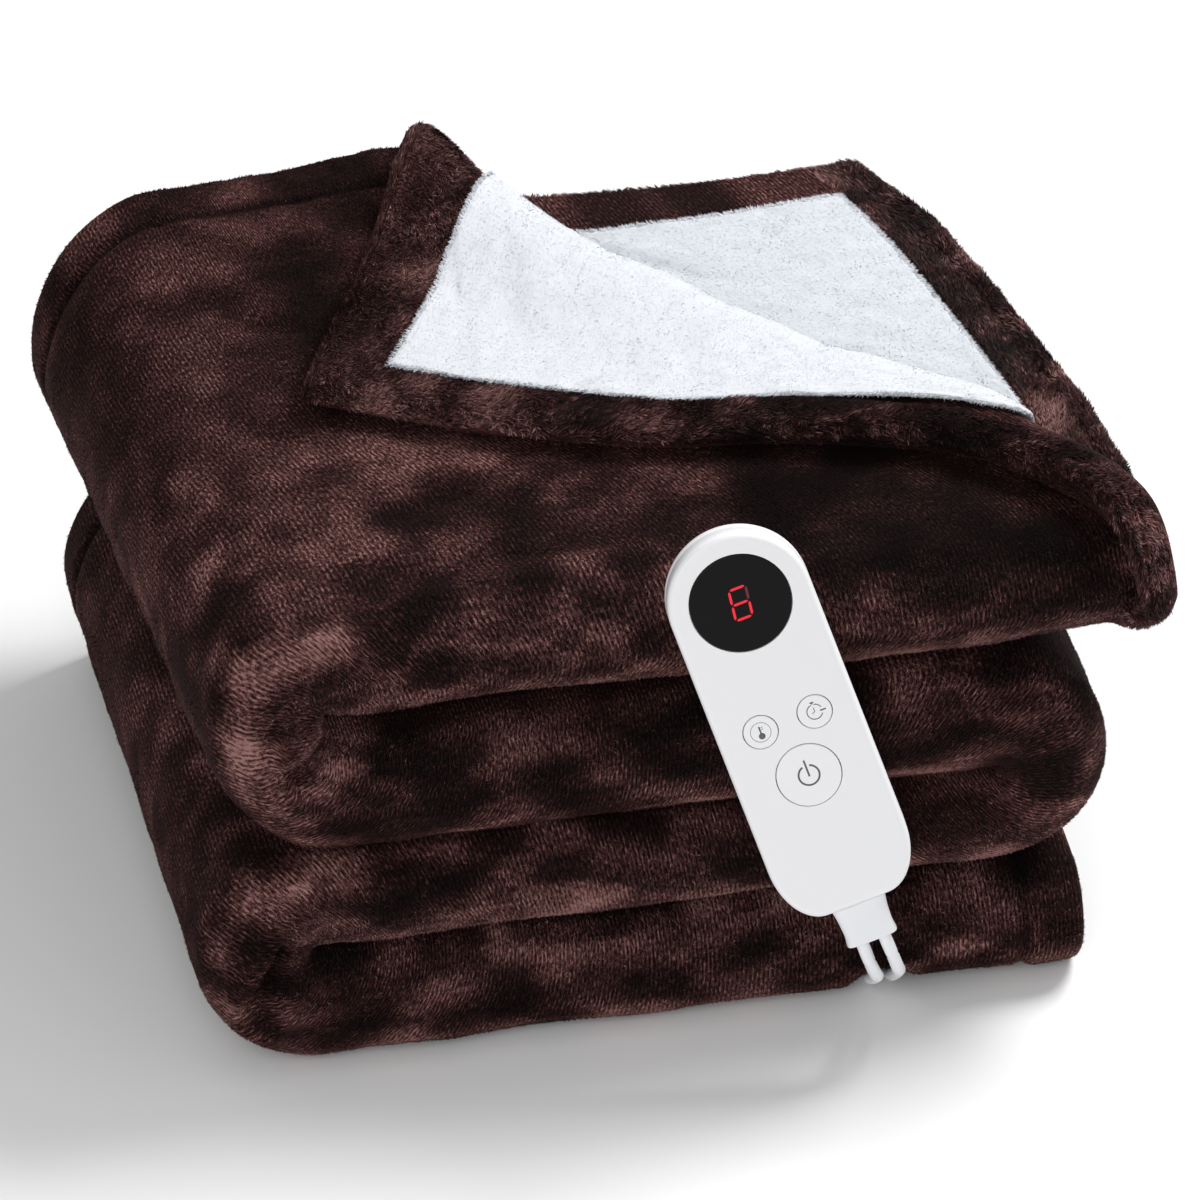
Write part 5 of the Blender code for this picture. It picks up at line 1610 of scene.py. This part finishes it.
seam = -FRONT_SHELL - GAP
back_wall = carried(
    [(SHELL_WALL, seam), (EDGE_SOFT, seam), (EDGE_SOFT, seam), (0, seam - EDGE_SOFT)]
    + [(0, -HANDSET_THICK + BACK_ROUNDING)]
    + rounded(0, -HANDSET_THICK + BACK_ROUNDING, -HANDSET_THICK, BACK_ROUNDING, 9)[::-1]
)
back_face = plate([back_wall[-1]])
back_plate = (back_face[0], back_face[1][:, ::-1])
back = handset_piece(
    "handset_rear", [back_wall[:, ::-1]], handset_white, "root", [back_plate]
)
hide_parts("handset_back")

window = turned(
    [(radius, -WINDOW_SUNK) for radius in (POLE, DISPLAY_RADIUS - 2 * EDGE_SOFT, DISPLAY_RADIUS - EDGE_SOFT)]
    + [(DISPLAY_RADIUS, -WINDOW_SUNK - EDGE_SOFT), (DISPLAY_RADIUS, -WINDOW_THICK), (POLE, -WINDOW_THICK)]
)
glass = handset_piece("display_glass", [window[::-1]], display_black, "root")
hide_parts("display_window")
for name, (radius, x, y) in KEYS.items():
    cap = [(POLE, KEY_PROUD), (radius - 2 * KEY_RIM, KEY_PROUD)]
    cap += [(radius - r, z) for r, z in rounded(0, KEY_PROUD - KEY_RIM, KEY_PROUD, KEY_RIM, 5)]
    cap += [(radius, -KEY_DEEP), (radius, -KEY_DEEP), (POLE, -KEY_DEEP)]
    key = handset_piece(name + "_cap", [turned(cap, (x, y))[::-1]], key_white, name)
    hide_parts(name)

# The boot: rounded squares along its length, that draw in at both ends.
BOOT_SQUARE, BOOT_TAPER, BOOT_SIDES = 0.5, 0.07, 64
along = np.concatenate([[0.0, 0.0, 0.012, 0.035], np.linspace(0.06, 0.94, 23), [0.98, 0.996, 1.0, 1.0]])
half = read_table(along, *zip(*BOOT_HALF))
shrink = np.concatenate([[POLE, 0.92, 0.96], np.ones(len(along) - 6), [0.985, 0.95, POLE]])
a = np.linspace(0, 2 * math.pi, BOOT_SIDES, endpoint=False)
boot_ring = [np.sign(wave) * np.abs(wave) ** BOOT_SQUARE for wave in (np.cos(a), np.sin(a))]
boot_grid = np.stack(np.broadcast_arrays(
    boot_ring[0][None] * (half * shrink)[:, None],
    (-HANDSET_LONG - GAP - BOOT_LONG * along)[:, None],
    boot_ring[1][None] * (shrink * BOOT_THICK / 2 * (1 - BOOT_TAPER * along))[:, None] - HANDSET_THICK / 2,
), axis=-1)
boot = handset_piece("boot", [boot_grid], boot_white, "root")
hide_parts("cord_boot")
print("shells:", len(front.data.polygons), "and", len(back.data.polygons), "triangles")

# %% [markdown]
# ## Marks on the keys, and the digit
#
# The icons are printed on the keys: a power sign, a thermometer and a clock.
# They are drawn with strokes of one width, each a thin raised ribbon, so they
# move with their key and stay sharp from close by. The digit has seven segments,
# that narrow to a point at their ends. Six of them are lit, and the seventh has a
# faint painted glow.

# %% Marks on the keys and the digit
PRINT = 0.00004  # how far a mark stands off what it is printed on


def stroke(points, wide, closed=False):
    """A flat ribbon of one width along a line."""
    points = np.array(points, float)
    if closed:
        points = np.concatenate([points, points[:1]])
    way = unit(np.gradient(points, axis=0))
    if closed:
        way[0] = way[-1] = unit(points[1] - points[-2])
    side = np.stack([-way[:, 1], way[:, 0]], axis=1) * wide / 2
    return np.stack([points + side, points - side], axis=1)


def arc(radius, start, stop, middle=(0.0, 0.0), steps=48):
    """Points on a circle, from one angle to another, in degrees."""
    a = np.radians(np.linspace(start, stop, steps))
    return np.array(middle) + radius * np.stack([np.cos(a), np.sin(a)], axis=1)


def marks(name, ribbons, at, z, material, body):
    """All ribbons of one mark as one piece with its top at the height z: each
    ribbon's two edges, at its top and at its underside, are a loop of four."""
    points, faces, start = [], [], 0
    heights = np.array((z, z, z - PRINT, z - PRINT))
    for ribbon in ribbons:
        loops = ribbon[:, [0, 1, 1, 0]] + np.array(at)
        points.append(raised(loops, heights[:, None]).reshape(-1, 3))
        faces.append(grid_faces(*loops.shape[:2], wrap_columns=True) + start)
        start += len(points[-1])
    made = make_mesh(name, on_handset(np.concatenate(points)), np.concatenate(faces), smooth=False)
    close_up(made, near=1e-6)
    return dress(made, material, body)


ICONS = {  # each key's strokes, from its middle
    "power": [
        stroke(arc(0.0044, 110, 430), 0.0008),
        stroke([(0, -0.0006), (0, 0.0069)], 0.0008),
    ],
    "heat": [
        stroke(arc(0.0043, 0, 357.5), 0.0002, closed=True),
        stroke([(0, -0.0008), (0, 0.0026)], 0.0007),
        stroke(arc(0.00075, 0, 350, (0, -0.0018), 24), 0.0013, closed=True),
        stroke([(0.0007, 0.0020), (0.0014, 0.0020)], 0.0003),
        stroke([(0.0007, 0.0011), (0.0014, 0.0011)], 0.0003),
    ],
    "timer": [
        stroke(arc(0.0033, 100, 330), 0.0004),
        stroke(arc(0.0033, 20, 80), 0.0004),
        stroke([(-0.0008, 0.0042), (0.0008, 0.0042)], 0.0006),
        stroke([(0.0, 0.0034), (0.0, 0.0042)], 0.0005),
        stroke([(0, 0), (0, 0.0019)], 0.0003),
        stroke([(0, 0), (-0.0013, -0.0006)], 0.0003),
        stroke([(0.0022, -0.0003), (0.0048, -0.0003)], 0.0006),
    ],
}
for kind, ribbons in ICONS.items():
    key = kind + "_button"
    marks(kind + "_mark", ribbons, KEYS[key][1:], KEY_PROUD + PRINT, icon_grey, key)

DIGIT_HIGH, DIGIT_WIDE, DIGIT_STROKE, DIGIT_SLANT = 0.0145, 0.0084, 0.00105, math.tan(math.radians(-7.0))
DIGIT_SPLIT, DIGIT_POINT, DIGIT_TIP = 0.00045, 0.0008, 0.1


def segment(start, stop):
    """One segment: a ribbon that narrows to a point at both ends, slanted."""
    start, stop = np.array(start), np.array(stop)
    way = unit(stop - start)
    stops = np.array((DIGIT_SPLIT, DIGIT_SPLIT + DIGIT_POINT))
    long = np.linalg.norm(stop - start)
    at = start + way * np.concatenate([stops, long - stops[::-1]])[:, None]
    side = np.array((-way[1], way[0])) * (DIGIT_STROKE / 2) * np.array((DIGIT_TIP, 1, 1, DIGIT_TIP))[:, None]
    ribbon = np.stack([at + side, at - side], axis=1)
    ribbon[..., 0] -= ribbon[..., 1] * DIGIT_SLANT
    return ribbon


w, h = (DIGIT_WIDE - DIGIT_STROKE) / 2, (DIGIT_HIGH - DIGIT_STROKE) / 2
lit = [((-w, h), (w, h)), ((-w, 0), (-w, h)), ((-w, 0), (w, 0))]
lit += [((-w, -h), (-w, 0)), ((-w, -h), (w, -h)), ((w, -h), (w, 0))]
for name, ends, material in (("digit", lit, digit_red), ("digit_unlit", [((w, 0), (w, h))], digit_painted_glow)):
    ribbons = [segment(*pair) for pair in ends]
    marks(name, ribbons, (0, 0), -WINDOW_SUNK + PRINT, material, "root")
print("marks and digit ready")

# %% [markdown]
# ## Floor and light
#
# A pale floor, a white surround, and one broad soft light from the right and
# above, a little behind the stack, so that the turned corner throws its shadow to
# the left. A weaker one from the front left keeps the folded fronts readable.

# %% Floor and light
FLOOR_HALF = 4.0
SURROUND = 0.46  # the white surround's strength
LIGHTS = {  # place, size, power
    "key_light": ((1.0, 0.45, 1.5), 0.7, 32),
    "front_light": ((-0.7, -1.5, 1.0), 1.2, 13),
}
LIT = Vector((0, 0, 0.1))  # where the lights look
FLOOR_CORNERS = ((-1, -1), (1, -1), (1, 1), (-1, 1))
floor = make_mesh("floor", [(x * FLOOR_HALF, y * FLOOR_HALF, 0) for x, y in FLOOR_CORNERS], [(0, 1, 2, 3)])
floor_pale = new_material("floor_pale", {
    "Base Color": (0.90, 0.90, 0.90, 1.0), "Roughness": 0.9, "Specular IOR Level": 0.1,
})[0]
floor.data.materials.append(floor_pale)

bpy.context.scene.view_settings.view_transform = "Standard"
world = bpy.data.worlds.new("studio")
world.use_nodes = True
world.node_tree.nodes["Background"].inputs["Color"].default_value = (1.0, 1.0, 1.0, 1.0)
world.node_tree.nodes["Background"].inputs["Strength"].default_value = SURROUND
bpy.context.scene.world = world
for name, (place, size, power) in LIGHTS.items():  # square lights that look at the stack's middle
    data = bpy.data.lights.new(name, "AREA")
    data.size = size
    data.energy = power
    light = bpy.data.objects.new(name, data)
    light.location = place
    light.rotation_mode = "QUATERNION"
    light.rotation_quaternion = (LIT - Vector(place)).to_track_quat("-Z", "Y")
    bpy.context.scene.collection.objects.link(light)
